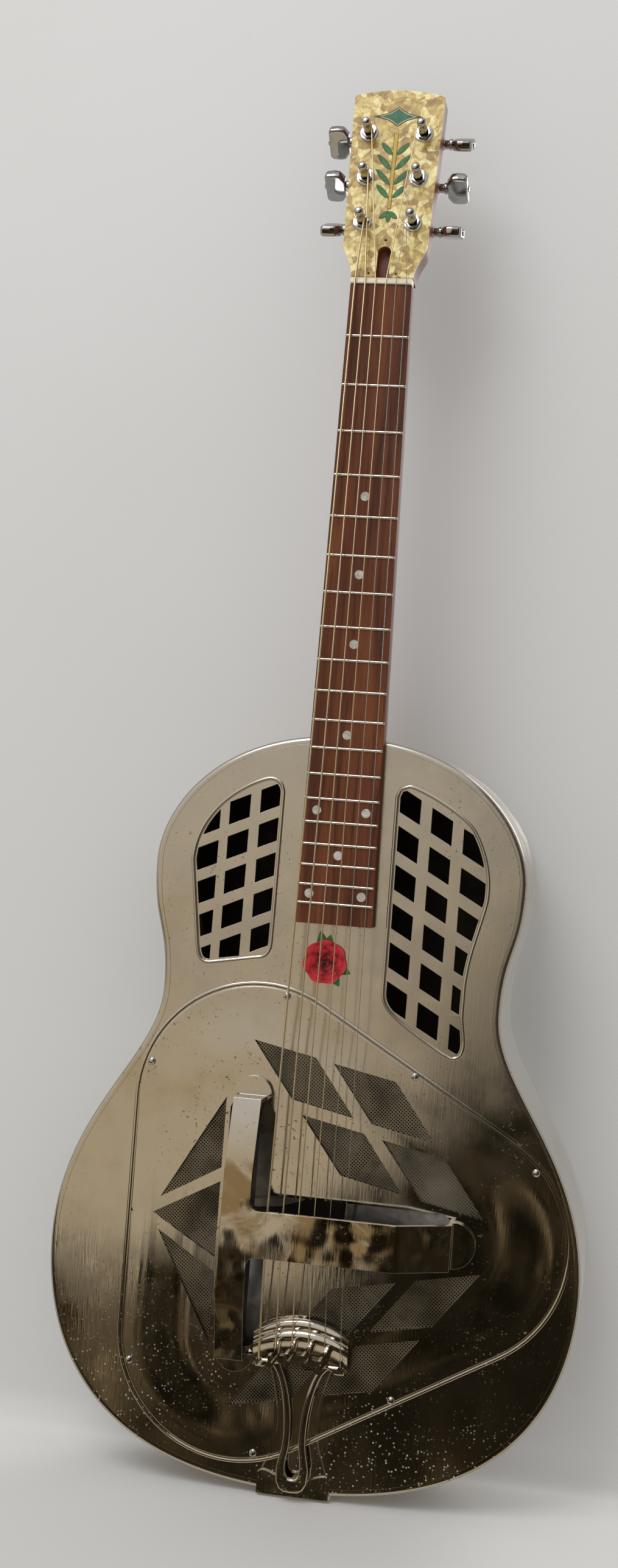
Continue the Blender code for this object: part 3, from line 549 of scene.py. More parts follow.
def wound_wire(name, light, deep):
    """Bronze winding as fine ridges along the string."""
    material, g = surface(name, 1.0, 0.28)
    g.look(colour=g.mix(g.noise(300.0), light, deep))
    ridges = g.add("ShaderNodeTexWave", {"Vector": g.where, "Scale": 420.0}, bands_direction="Z")
    g.look(normal=g.bump(ridges.outputs["Fac"], 0.06))
    return material


def wood(name, light, mid, dark, grain, roughness, coat=0.0, pore=0.4):
    """Grain runs along the neck."""
    material, g = surface(name, 0.0, roughness, coat)
    long = g.stretch(grain, grain, grain * 0.045)
    figure = g.noise(1.0, 4.0, 0.55, 0.9, long)
    colour = g.ramp(figure, (0.30, dark), (0.48, mid), (0.68, light))
    pores = g.span(g.noise(1.0, 2.0, 0.5, 0.0, g.stretch(grain * 9, grain * 9, grain * 0.35)), 0.60, 0.70)
    colour = g.mix(g.times(pores, pore), colour, tuple(0.35 * part for part in dark))
    g.look(colour=colour, normal=g.bump(pores, -0.04))
    return material


def pearloid():
    """Golden celluloid flakes, folded and cracked."""
    material, g = surface("pearloid_sheet", 0.0, 0.3, 0.2)
    warp = g.add("ShaderNodeTexNoise", {"Vector": g.where, "Scale": 55.0, "Detail": 2.0}).outputs["Color"]
    bent = g.add("ShaderNodeVectorMath", {0: warp, 1: (0.012, 0.012, 0.012)}, operation="MULTIPLY")
    where = g.add("ShaderNodeVectorMath", {0: g.where, 1: bent.outputs[0]}, operation="ADD").outputs[0]
    flakes = g.split(g.cells(190.0, "Color", where=where))[0]
    chips = g.split(g.cells(330.0, "Color", where=where))[1]
    swirl = g.noise(90.0, 3.0, 0.55, 2.2, where)
    value = g.plus(g.times(flakes, 0.40), g.times(chips, 0.16))
    value = g.plus(value, g.times(swirl, 0.55))
    colour = g.ramp(value, (0.30, (0.27, 0.15, 0.025)), (0.45, (0.44, 0.28, 0.06)),
                    (0.58, (0.62, 0.46, 0.13)), (0.76, (0.88, 0.78, 0.36)))
    edge = g.span(g.cells(190.0, feature="DISTANCE_TO_EDGE", where=where), 0.05, 0.0)
    colour = g.mix(g.times(edge, 0.35), colour, (0.33, 0.20, 0.07))
    g.look(colour=colour, normal=g.bump(value, 0.05))
    return material


def painted(name, light, deep, roughness=0.4, scale=160.0):
    material, g = surface(name, 0.0, roughness)
    g.look(colour=g.mix(g.span(g.noise(scale, 4.0, 0.6), 0.3, 0.7), light, deep))
    g.look(normal=g.bump(g.noise(scale * 4), 0.01))
    return material


def petal_red():
    """Deep at a petal's root and sides, bright near its rim: partly the transfer's printed tone, partly painted
    shade where the petals overlap.
    """
    material, g = surface("petal_red", 0.0, 0.38, 0.2)
    along = g.add("ShaderNodeAttribute", attribute_name="along").outputs["Fac"]
    streak = g.times(g.noise(700.0, 3.0), 0.25)
    colour = g.ramp(g.plus(along, g.math("SUBTRACT", streak, 0.12)), (0.05, (0.035, 0.002, 0.004)),
                    (0.45, (0.10, 0.003, 0.006)), (0.7, (0.42, 0.010, 0.018)), (0.95, (0.62, 0.03, 0.04)))
    g.look(colour=colour)
    return material


def paper():
    material, g = surface("paper", 0.0, 0.85)
    colour = g.mix(g.span(g.noise(1.5, 4.0), 0.3, 0.7), (0.71, 0.705, 0.695), (0.68, 0.675, 0.66))
    scuff = g.span(g.noise(9.0, 6.0, 0.65, 1.5), 0.66, 0.74)
    g.look(colour=g.mix(g.times(scuff, 0.10), colour, (0.50, 0.49, 0.47)))
    return material


MATERIALS = {
    "plate": nickel("nickel_plate"),
    "hardware": nickel("nickel_hardware", 0.13, 0.3, 30.0),
    "palm": palm_nickel(),
    "inside": dark_inside(),
    "chrome": plain_metal("chrome", (0.58, 0.58, 0.59), (0.44, 0.43, 0.42), 0.04, 0.14),
    "silver": plain_metal("fret_silver", (0.76, 0.74, 0.70), (0.60, 0.57, 0.50), 0.14, 0.28, 160.0),
    "aluminium": plain_metal("spun_aluminium", (0.42, 0.41, 0.40), (0.28, 0.27, 0.26), 0.35, 0.5),
    "wire": plain_metal("screen_wire", (0.46, 0.41, 0.32), (0.14, 0.125, 0.10), 0.30, 0.50, 28.0),
    "bronze": wound_wire("bronze_winding", (0.98, 0.84, 0.58), (0.84, 0.66, 0.40)),
    "steel": plain_metal("plain_steel", (0.70, 0.68, 0.64), (0.52, 0.49, 0.44), 0.18, 0.3, 200.0),
    "rosewood": wood("rosewood", (0.19, 0.055, 0.014), (0.125, 0.032, 0.009), (0.04, 0.012, 0.005),
                     150.0, 0.55),
    "mahogany": wood("mahogany", (0.25, 0.085, 0.045), (0.18, 0.055, 0.030), (0.11, 0.032, 0.018),
                     120.0, 0.50, 0.05),
    "maple": wood("maple", (0.52, 0.36, 0.19), (0.42, 0.27, 0.13), (0.30, 0.18, 0.08), 90.0, 0.5),
    "bone": painted("bone", (0.78, 0.72, 0.58), (0.66, 0.58, 0.42), 0.35, 60.0),
    "pearl": painted("pearl", (0.62, 0.60, 0.55), (0.38, 0.35, 0.30), 0.2, 260.0),
    "pearloid": pearloid(),
    "green": painted("leaf_green", (0.05, 0.20, 0.045), (0.02, 0.10, 0.025), 0.35, 300.0),
    "moss": painted("plaque_green", (0.012, 0.15, 0.065), (0.006, 0.085, 0.035), 0.3, 200.0),
    "gold": painted("gold_paint", (0.60, 0.42, 0.035), (0.48, 0.30, 0.02), 0.3, 200.0),
    "outline": painted("outline_brown", (0.05, 0.035, 0.012), (0.025, 0.018, 0.006), 0.4, 200.0),
    "cream": painted("cream_paint", (0.66, 0.56, 0.34), (0.54, 0.44, 0.24), 0.35, 200.0),
    "petal": petal_red(),
    "paper": paper(),
}


# Body -----------------------------------------------------------------------------------------


def below(point, distance):
    return (point[0], point[1] - distance)


def body_outline(steps=26):
    start = (HEEL_FLAT, SHOULDER_Y)
    half = bezier(start, (94.6, SHOULDER_Y - 7.2), below(UPPER_BOUT, -36.3), UPPER_BOUT, steps)
    half += bezier(UPPER_BOUT, below(UPPER_BOUT, 43.7), below(WAIST, -44.3), WAIST, steps)
    half += bezier(WAIST, below(WAIST, 49.9), below(LOWER_BOUT, -90.1), LOWER_BOUT, steps)
    half += bezier(LOWER_BOUT, below(LOWER_BOUT, 59.5), (157.3, TAIL_Y), (0.0, TAIL_Y), 2 * steps)
    return mirrored(half + [(0.0, TAIL_Y)])


def band_section():
    """(inset, z) round the side band: rolled rims, flanges for the plates, a thin wall between."""
    angles = [pi / 2 * step / 8 for step in range(9)]
    top = [(RIM_RADIUS - RIM_RADIUS * cos(a), -RIM_RADIUS + RIM_RADIUS * sin(a)) for a in angles]
    inner = [(RIM_FLANGE, 0.0), (RIM_FLANGE, -SHEET), (RIM_RADIUS + 0.2, -SHEET), (SHEET, -RIM_RADIUS - 0.4)]
    upper = top + inner
    return upper + [(away, -BODY_DEPTH - z) for away, z in reversed(upper)]


def end_pin_matrix():
    return Matrix.Translation((0, TAIL_Y, -41.0)) @ Matrix.Rotation(radians(90), 4, "X")


def cover_triangle(distance, steps=24):
    """The rounded triangle of the coverplate, moved inward."""
    found = []
    radius = COVER_RADIUS - distance
    for cx, cy in cone_centres():
        towards = atan2(cy - COVER_CENTRE_Y, cx)
        for step in range(steps + 1):
            angle = towards - radians(60) + radians(120) * step / steps
            found.append((cx + radius * cos(angle), cy + radius * sin(angle)))
    return found


def cone_centres():
    corners = [radians(120 * corner) for corner in range(3)]
    return [(COVER_CORNER_OUT * cos(a), COVER_CENTRE_Y + COVER_CORNER_OUT * sin(a)) for a in corners]


def cover_screws():
    """Nine screw places: one at the middle of each side, two at each corner."""
    places = []
    for corner in range(3):
        for turn, radius in ((-19.5, 158.3), (19.5, 158.3), (60.0, 126.0)):
            angle = radians(120 * corner + turn)
            places.append((radius * cos(angle), COVER_CENTRE_Y + radius * sin(angle)))
    return places


def soundhole_bass():
    upper = bezier((-101.5, -400), (-100.5, -371), (-78.0, -351), (-56.0, -342.8), 22)
    corner = bezier((-56.0, -342.8), (-48.5, -340.2), (-43.6, -344), (-43.8, -352), 10)
    inner = bezier((-44.6, -452.0), (-44.8, -459.0), (-47.0, -462.4), (-53.0, -462.7), 8)
    lower = bezier((-84.0, -468.4), (-90.0, -469.6), (-92.6, -468.0), (-94.0, -458.0), 9)
    return upper + corner + inner + [(-53.0, -462.7)] + lower + [(-94.0, -458.0)]


def soundhole_treble():
    upper = bezier((44.5, -341.0), (50.0, -340.5), (84.0, -357.0), (90.5, -368.0), 16)
    outer = bezier((90.5, -368.0), (97.5, -379.0), (103.5, -396.0), (101.5, -414.0), 16)
    lower = bezier((101.5, -414.0), (97.0, -437.0), (90.4, -452.0), (90.2, -478.0), 12)
    toe = bezier((90.2, -492.0), (91.0, -503.0), (97.0, -519.0), (86.5, -519.8), 14)
    inner = bezier((80.0, -517.0), (43.5, -495.3), (38.0, -491.0), (37.8, -480.0), 10)
    last = [(37.8, -480.0), (37.6, -347.0), (39.5, -342.6)]
    return upper + outer + lower + toe + [(86.5, -519.8)] + inner + last


def lattice(columns, first, slope, pitch, hole, rows):
    """Parallelograms in upright columns; every column follows the same slanting lines."""
    found = []
    for left, right in columns:
        for row in range(rows):
            lower_left = (left, first - pitch * row + slope * (left - columns[0][0]))
            lower_right = (right, lower_left[1] + slope * (right - left))
            found.append([lower_left, lower_right, below(lower_right, -hole), below(lower_left, -hole)])
    return found


def make_shell():
    outline = body_outline()
    band = loft("shell_sides", stacked(outline, band_section()), closed=True)
    cut(band, [rectangle(-18, -300, 18, -315)], -75.5, -46.5)
    drill(band, END_BORE, -20, 20, 28, end_pin_matrix())
    finish(band, "plate", "body_sides")
    border = inset(outline, RIM_FLANGE + 0.1)
    holes = [cover_triangle(WELL_INSET)]
    sides = (
        ("bass", soundhole_bass(), lattice(WINDOW_COLUMNS["bass"], -364.5, 0.455, 24.0, 15.8, 7)),
        ("treble", soundhole_treble(), lattice(WINDOW_COLUMNS["treble"], -352.4, -0.558, 26.4, 16.8, 8)),
    )
    for side, region, windows in sides:
        holes.append(inset(region, -1.0))
        room = inset(region, 1.0)
        panes = [clipped(room, window) for window in windows]
        panes = [pane for pane in panes if len(pane) > 2 and abs(area_of(pane)) > 5.0]
        panel = plate(f"lattice_{side}", [inset(region, -0.3), *panes], -1.9, -0.7, 0.2)
        finish(panel, "plate")
        lip = loft(f"soundhole_lip_{side}", stacked(region, LIP_BEAD), closed=True)
        finish(lip, "plate", crease=60)
    top = plate("shell_top", [border, *holes], -SHEET, 0.0, 0.15)
    finish(top, "plate", "body_top")
    back = plate("shell_back", [border], -BODY_DEPTH, -BODY_DEPTH + SHEET, 0.15)
    finish(back, "plate", "body_back")
    inner_face = -BODY_DEPTH + SHEET
    # A near-black sheet laid just above the back's inner face: painted shade inside the body.
    lining = plate("shell_back_inside", [inset(outline, 8.0)], inner_face + 0.1, inner_face + 0.5, 0.1)
    finish(lining, "inside")


# Coverplate -----------------------------------------------------------------------------------


def cover_window_grid():
    """Four slanting windows in two rows of two, above the stem."""
    found = []
    for row in range(2):
        for column in range(2):
            x = -49.0 + 56.0 * column + 37.0 * row
            y = -519.5 - 11.5 * column - 48.0 * row
            found.append([(x, y), (x + 43.5, y - 8.6), (x + 72.8, y - 47.0), (x + 29.3, y - 38.2)])
    return found


def flipped(outline):
    return [(x, 2 * COVER_CENTRE_Y - y) for x, y in outline]


def cover_side_windows():
    mid = COVER_CENTRE_Y
    upper = [(-65.2, mid + 84.0), (-65.2, mid + 35.5), (-107.0, mid + 11.0)]
    middle = [(-65.2, mid + 26.0), (-65.2, mid - 26.0), (-111.5, mid)]
    return [upper, middle, flipped(upper)]


def bridge_opening():
    """The T-shaped hole under the palm rest."""
    mid = COVER_CENTRE_Y
    corners = [(-62, mid + 84), (-30, mid + 84), (-30, mid + 20), (95, mid + 20)]
    corners += [(x, 2 * mid - y) for x, y in reversed(corners)]
    return rounded(corners, [8, 12, 0, 8, 8, 0, 12, 8], 10)


def trough_side(steps):
    upper = bezier((23.0, -733.0), (17.0, -748.0), (14.0, -760.0), (13.6, -775.0), steps)
    lower = bezier((13.6, -775.0), (13.4, -790.0), (18.0, -797.0), (23.0, -812.0), steps)
    return upper + lower + [(23.0, -812.0)]


def trough(margin):
    return mirrored([(x + margin, y) for x, y in trough_side(10)])


def cover_height(away):
    """Height of the coverplate's top at a distance in from its edge."""
    share = max(0.0, min(1.0, (away - 10.0) / 44.0))
    return 1.9 + (COVER_TOP - 1.9) * share * share * (3 - 2 * share)


def make_cover():
    rise = [(away, cover_height(away)) for away in range(10, 55, 4)]
    under = [(away, max(GAP, height - 1.0)) for away, height in reversed(rise)] + [(0.0, GAP)]
    edge = [(0.0, 1.2), (0.15, 1.6), (0.5, 1.85), (1.0, 1.95), (1.9, 1.95), (2.3, 1.75), (2.5, 1.2), (3.0, 1.2),
            (3.2, 1.65), (3.6, 1.86), (4.4, 1.9)]
    loops = [[(x, y, z) for x, y in cover_triangle(away)] for away, z in under + edge + rise]
    cover = loft("cover_shell", loops)
    pad = prisms("pad", [trough(2.0)], 1.12, 3.3)
    combine(pad, prisms("cutter", [cover_triangle(5.3)], 0.5, 3.6), "INTERSECT")
    combine(cover, pad, "UNION")
    cut(cover, [trough(0.0)], 2.2, 9.0)
    openings = cover_window_grid() + cover_side_windows()
    openings += [flipped(window) for window in cover_window_grid()]
    openings.append(bridge_opening())
    openings += [circle(x, y, 1.45, 16) for x, y in cover_screws()]
    cut(cover, openings, -5.0, 9.0)
    finish(cover, "plate", "coverplate", crease=30)


def woven(name, hull, node, low=0.9):
    """Two layers of straight wires across a convex area."""
    outlines = ([], [])
    pitch, width = 1.7, 0.66
    cx = sum(x for x, _ in hull) / len(hull)
    cy = sum(y for _, y in hull) / len(hull)
    reach = max(hypot(x - cx, y - cy) for x, y in hull)
    for layer, angle in enumerate((radians(52), radians(-38))):
        ux, uy = cos(angle), sin(angle)
        for step in range(-int(reach / pitch), int(reach / pitch) + 1):
            ox, oy = cx - uy * step * pitch, cy + ux * step * pitch
            strip = [(ox + ux * a * reach - uy * b * width / 2, oy + uy * a * reach + ux * b * width / 2)
                     for a, b in ((-1, -1), (1, -1), (1, 1), (-1, 1))]
            found = clipped(strip, hull)
            if len(found) > 2 and abs(area_of(found)) > 0.2:
                outlines[layer].append(found)
    for layer, level in ((0, low), (1, low + 0.45)):
        piece = prisms(f"{name}_wires_{layer + 1}", outlines[layer], level, level + 0.4)
        finish(piece, "wire", None if layer else node)


def stacked(outline, section):
    """The outline moved inward by each distance of the section, at that entry's height."""
    return [[(x, y, z) for x, y in inset(outline, away)] for away, z in section]


def grown(corners, distance):
    """A convex polygon with each side moved outward."""
    side = 1 if area_of(corners) > 0 else -1
    moved = []
    for index in range(len(corners)):
        here = Vector(corners[index])
        before = (here - Vector(corners[index - 1])).normalized()
        after = (Vector(corners[(index + 1) % len(corners)]) - here).normalized()
        normal = Vector((before.y, -before.x)) * side
        joined = (normal + Vector((after.y, -after.x)) * side).normalized()
        moved.append(tuple(here + joined * (distance / joined.dot(normal))))
    return moved


def make_screens():
    grid = cover_window_grid()
    upper = grown([grid[0][0], grid[1][1], grid[3][2], grid[2][3]], 2.0)
    side = [(-65.2, COVER_CENTRE_Y + 84), (-65.2, COVER_CENTRE_Y - 84), (-111.5, COVER_CENTRE_Y)]
    woven("screen_upper", upper, "screen_upper")
    woven("screen_lower", flipped(upper), "screen_lower")
    woven("screen_side", grown(side, 2.0), "screen_side")


def make_screws():
    """Domed slotted heads; two of the nine places have lost theirs."""
    number = 0
    for index, (x, y) in enumerate(cover_screws()):
        if index in (0, 5):
            continue
        number += 1
        dome = [(2.7 * cos(radians(a)), 2.0 + 1.7 * sin(radians(a))) for a in range(0, 90, 10)]
        head = lathe(f"screw_{number}", [(1.0, -1.2), (1.0, 1.9), (2.7, 1.9), *dome, (0.05, 3.7)], 24,
                     Matrix.Translation((x, y, 0)))
        turn = Matrix.Translation((x, y, 0)) @ Matrix.Rotation(0.7 * index, 4, "Z")
        cut(head, [rectangle(-4, -0.35, 4, 0.35)], 3.0, 6.0, turn)
        finish(head, "chrome", f"cover_screw_{number}")


def make_palm_rest():
    """A bent T of thick sheet: level in the middle, three arms sloping to round feet."""
    mid = COVER_CENTRE_Y
    x0 = -46.0
    half_bar, half_stem = 9.6, 15.4
    foot_z = COVER_TOP + GAP + REST_SHEET
    stem_crease, stem_end, stem_low = 62.0, 97.0, 17.0
    bar_crease, bar_end, bar_low = 40.0, 87.5, 24.0
    points = []
    faces = []

    def add(*found):
        first = len(points)
        points.extend(found)
        return list(range(first, first + len(found)))

    left = add((x0 - half_bar, mid - bar_crease, REST_TOP), (x0 - half_bar, mid + bar_crease, REST_TOP))
    upper = add((x0 + half_bar, mid + bar_crease, REST_TOP))
    fillet = 6.0
    arc = [(x0 + half_bar + fillet * (1 - cos(radians(a))), mid + half_stem + fillet * (1 - sin(radians(a))))
           for a in range(0, 91, 15)]
    in_upper = add(*[(x, y, REST_TOP) for x, y in arc])
    stem = add((stem_crease, mid + half_stem, REST_TOP), (stem_crease, mid - half_stem, REST_TOP))
    in_lower = add(*[(x, 2 * mid - y, REST_TOP) for x, y in reversed(arc)])
    lower = add((x0 + half_bar, mid - bar_crease, REST_TOP))
    faces.append([left[0], left[1], *upper, *in_upper, *stem, *in_lower, *lower])
    ends = (
        ((left[1], upper[0]), (0, 1), bar_end, bar_low, half_bar, 13.0, (x0, mid)),
        ((lower[0], left[0]), (0, -1), bar_end, bar_low, half_bar, 13.0, (x0, mid)),
        ((stem[0], stem[1]), (1, 0), stem_end, stem_low, half_stem, half_stem + 0.2, (0.0, mid)),
    )
    for (first, second), (ux, uy), out, low, half, foot, (cx, cy) in ends:
        across = (uy, -ux)
        centre = (cx + ux * out, cy + uy * out)
        one = (centre[0] - across[0] * half, centre[1] - across[1] * half)
        two = (centre[0] + across[0] * half, centre[1] + across[1] * half)
        slope = add((*one, low), (*two, low))
        wall = add((*one, foot_z), (*two, foot_z))
        faces.append([first, second, slope[1], slope[0]])
        faces.append([slope[0], slope[1], wall[1], wall[0]])
        rim = []
        for step in range(25):
            angle = pi * step / 24
            rim.append((centre[0] + across[0] * foot * cos(angle) + ux * foot * sin(angle),
                        centre[1] + across[1] * foot * cos(angle) + uy * foot * sin(angle), foot_z))
        faces.append([wall[0], wall[1], *add(*rim)])
    rest = mesh_object("palm_rest_cover", points, faces)
    if rest.data.polygons[0].normal.y > 0:
        rest.data.flip_normals()
    thick = rest.modifiers.new("thickness", "SOLIDIFY")
    thick.thickness = REST_SHEET * MM
    thick.offset = -1.0
    thick.use_even_offset = True
    thick.use_quality_normals = True
    bake(rest)
    bevel(rest, 1.6, 5, 25)
    finish(rest, "palm", "palm_rest", crease=60)


# Neck and head --------------------------------------------------------------------------------


def board_half(y):
    return (NUT_WIDTH + (TWELFTH_WIDTH - NUT_WIDTH) * (-y) / (SCALE_LENGTH / 2)) / 2


def fret_y(number):
    return -SCALE_LENGTH * (1 - 2 ** (-number / 12))


def make_fretboard():
    loops = []
    for y in (0.0, -BOARD_END):
        half = board_half(y)
        loops.append([(-half, y, GAP), (half, y, GAP), (half, y, BOARD_TOP), (-half, y, BOARD_TOP)])
    board = loft("rosewood_board", loops)
    bevel(board, 0.5, 3)
    finish(board, "rosewood", "fretboard", crease=50)
    for number in range(1, FRETS + 1):
        y = fret_y(number)
        half = board_half(y)
        stations = ((-half, 0.35), (-half + 0.5, 0.9), (-half + 1.2, 1.0))
        loops = []
        for x, scale in (*stations, *((-x, scale) for x, scale in reversed(stations))):
            loops.append([(x, y + cos(radians(a)), BOARD_TOP - 0.05 + 1.1 * scale * sin(radians(a)))
                          for a in range(0, 181, 20)])
        finish(loft(f"fret_{number}", loops), "silver", crease=60)
    dots = [(number, 0.0) for number in (5, 7, 9, 12, 17)]
    dots += [(15, -17.0), (15, 17.0), (19, -18.0), (19, 18.0)]
    for index, (number, x) in enumerate(dots):
        y = (fret_y(number) + fret_y(number - 1)) / 2
        disc = [circle(x, y, 3.1, 32)]
        finish(plate(f"pearl_dot_{index + 1}", disc, BOARD_TOP - 0.6, BOARD_TOP + 0.08, 0.04), "pearl")


def make_nut():
    top = STRING_AT_NUT - STRING_RADII[0] - GAP
    half = NUT_WIDTH / 2
    profile = [(GAP, GAP), (GAP, top), (1.6, top), (3.4, top - 0.6), (4.8, top - 1.8), (4.8, GAP)]
    nut = loft("bone_nut", [[(side * half, y, z) for y, z in profile] for side in (-1, 1)])
    bevel(nut, 0.35, 2)
    finish(nut, "bone", "nut", crease=50)


def neck_section(y, depth, steps=30, width=None):
    half = (board_half(y) if width is None else width) - 0.2
    curve = []
    for step in range(steps + 1):
        angle = pi * step / steps
        curve.append((half * cos(angle), y, -2.0 - (depth - 2.0) * sin(angle) ** 0.8))
    return [(half, y, 0.0), *curve, (-half, y, 0.0)]


def heel_section(y, depth, blend):
    found = []
    for x, _, z in neck_section(y, depth):
        lower = max(0.0, -z - 4.0) / max(1.0, depth - 4.0)
        found.append((x * (1 - 0.42 * blend * lower), y, z))
    return found


def head_matrix():
    """Carries (across, along the head, out of its face) into the guitar frame."""
    return Matrix.Translation((0, HEAD_START, BOARD_TOP - 1.4)) @ Matrix.Rotation(-HEAD_TILT, 4, "X")


def head_outline(margin=0.0):
    low = 21.5
    nut_half = NUT_WIDTH / 2 + 0.3
    flare = (HEAD_HALF_LOW, low)
    half = [(nut_half, 0.0)]
    half += bezier((nut_half, 1.0), (nut_half + 0.6, 8.0), (HEAD_HALF_LOW - 3.0, low - 7.0), flare, 14)
    half += [(HEAD_HALF_LOW + 0.1, low + 2.0), (HEAD_HALF_TOP, HEAD_LENGTH - 1.5)]
    half += [(HEAD_HALF_TOP - 0.8, HEAD_LENGTH)]
    for step in range(1, 13):
        across = (HEAD_HALF_TOP - 0.8) * (1 - step / 12)
        half.append((across, HEAD_LENGTH + 4.4 * (1 - (across / HEAD_HALF_TOP) ** 2)))
    return [(x - margin, y) if x > 0 else (x + margin, y) for x, y in mirrored(half)]


def post_places():
    found = []
    for side in (-1, 1):
        for row in range(3):
            across = POST_HALF_LOW + (POST_HALF_TOP - POST_HALF_LOW) * row / 2
            found.append((side * across, POST_FIRST + POST_SPACING * row))
    return found


def truss_slot(low):
    half = 4.6
    arch = [(half * cos(pi * k / 16), 18.0 + half * sin(pi * k / 16)) for k in range(17)]
    return [(-half, low), (half, low), *arch]


def make_neck():
    stations = [(0.2, 19.5), (-60.0, 20.0), (-150.0, 21.0), (-230.0, 22.5), (-262.0, 24.5)]
    loops = [heel_section(y, depth, 0.0) for y, depth in stations]
    for step in range(1, 15):
        share = step / 14
        loops.append(heel_section(-262.0 - 47.4 * share, 24.5 + 50.0 * sin(share * pi / 2) ** 2.2, share))
    neck = loft("wooden_neck", loops)
    wood_top = -OVERLAY - GAP
    head = prisms("head", [head_outline(0.2)], -HEAD_THICKNESS, wood_top, head_matrix())
    combine(neck, head, "UNION")
    swell = ((-20.0, 19.0, 20.0), (0.0, 20.5, 20.6), (12.0, 21.0, 20.2), (24.0, 18.0, 17.0))
    volute = loft("volute", [neck_section(y, depth, width=width) for y, depth, width in swell])
    cut(volute, [rectangle(-60, -1, 60, 60)], -0.3, 30.0)
    above = rectangle(-60, -12, 60, 60)
    cut(volute, [above], wood_top - 4.0, 40.0, head_matrix())
    combine(neck, volute, "UNION")
    cut(neck, [rectangle(-60, 0.25, 60, 5.05)], 0.0, 40.0)
    holes = [circle(x, y, POST_BORE, 24) for x, y in post_places()]
    cut(neck, holes, -40.0, 20.0, head_matrix())
    slot = prisms("cutter", [truss_slot(-12.0)], -7.5, 20.0, head_matrix())
    combine(slot, prisms("keep", [rectangle(-60, 5.1, 60, 60)], -30.0, 30.0), "INTERSECT")
    combine(neck, slot)
    finish(neck, "mahogany", "neck")


def make_overlay():
    holes = [circle(x, y, POST_BORE, 24) for x, y in post_places()]
    holes += [circle(0.0, 27.0, 0.8, 12), circle(-9.6, 2.6, 0.8, 12), circle(9.6, 2.6, 0.8, 12)]
    sheet = plate("pearloid_face", [head_outline(), *holes], -OVERLAY, 0.0, 0.2, head_matrix())
    cut(sheet, [truss_slot(-5.0)], -8.0, 8.0, head_matrix())
    finish(sheet, "pearloid", "headstock_overlay")


def leaf(x, y, length, width, angle, steps=9):
    """A pointed leaf from its root at (x, y)."""
    half = bezier((0.0, 0.0), (width, length * 0.25), (width * 0.8, length * 0.75), (0.0, length), steps)
    shape = half + [(0.0, length)] + [(-px, py) for px, py in half[:0:-1]]
    c, s = cos(angle), sin(angle)
    return [(x + px * c - py * s, y + px * s + py * c) for px, py in shape]


def decal(name, outline, colour, layer, matrix, thickness=0.07):
    low = 0.02 + layer * 0.06
    finish(plate(name, [outline], low, low + thickness, 0.02, matrix), colour, crease=60)


def make_ornament():
    """A painted sprig below a plain lozenge."""
    at = head_matrix()
    lozenge = []
    points = ((17.5, 118.5), (0.0, 126.0), (-17.5, 118.5), (0.0, 111.0))
    for index, point in enumerate(points):
        after = points[(index + 1) % 4]
        pull = ((after[0] + point[0]) * 0.36, 118.5 + ((after[1] + point[1]) / 2 - 118.5) * 0.72)
        lozenge += bezier(point, pull, pull, after, 8)
    decal("plaque_border", lozenge, "outline", 0, at)
    decal("plaque_line", inset(lozenge, 0.7), "cream", 1, at)
    decal("plaque_field", inset(lozenge, 1.3), "moss", 2, at)
    stem = [(-0.9, 50.0), (0.9, 50.0), (1.3, 106.0), (-1.3, 106.0)]
    decal("stem_outline", grown(stem, 0.35), "outline", 0, at)
    decal("stem_gold", stem, "gold", 2, at)
    for number, (y, length) in enumerate(((58.0, 13.0), (68.0, 15.0), (79.0, 15.0), (90.0, 12.0))):
        for side in (-1, 1):
            shape = leaf(side * 1.6, y, length, 2.5, -side * radians(42))
            label = f"{number + 1}_{'bass' if side < 0 else 'treble'}"
            decal(f"leaf_outline_{label}", inset(shape, -0.35), "outline", 0, at)
            decal(f"leaf_{label}", shape, "green", 1, at)
    for number, turn in enumerate((-50, 0, 50)):
        shape = leaf(0.0, 48.0, 8.0, 2.2, pi + radians(turn))
        decal(f"foot_outline_{number + 1}", inset(shape, -0.35), "outline", 0, at)
        decal(f"foot_leaf_{number + 1}", shape, "green", 1, at)


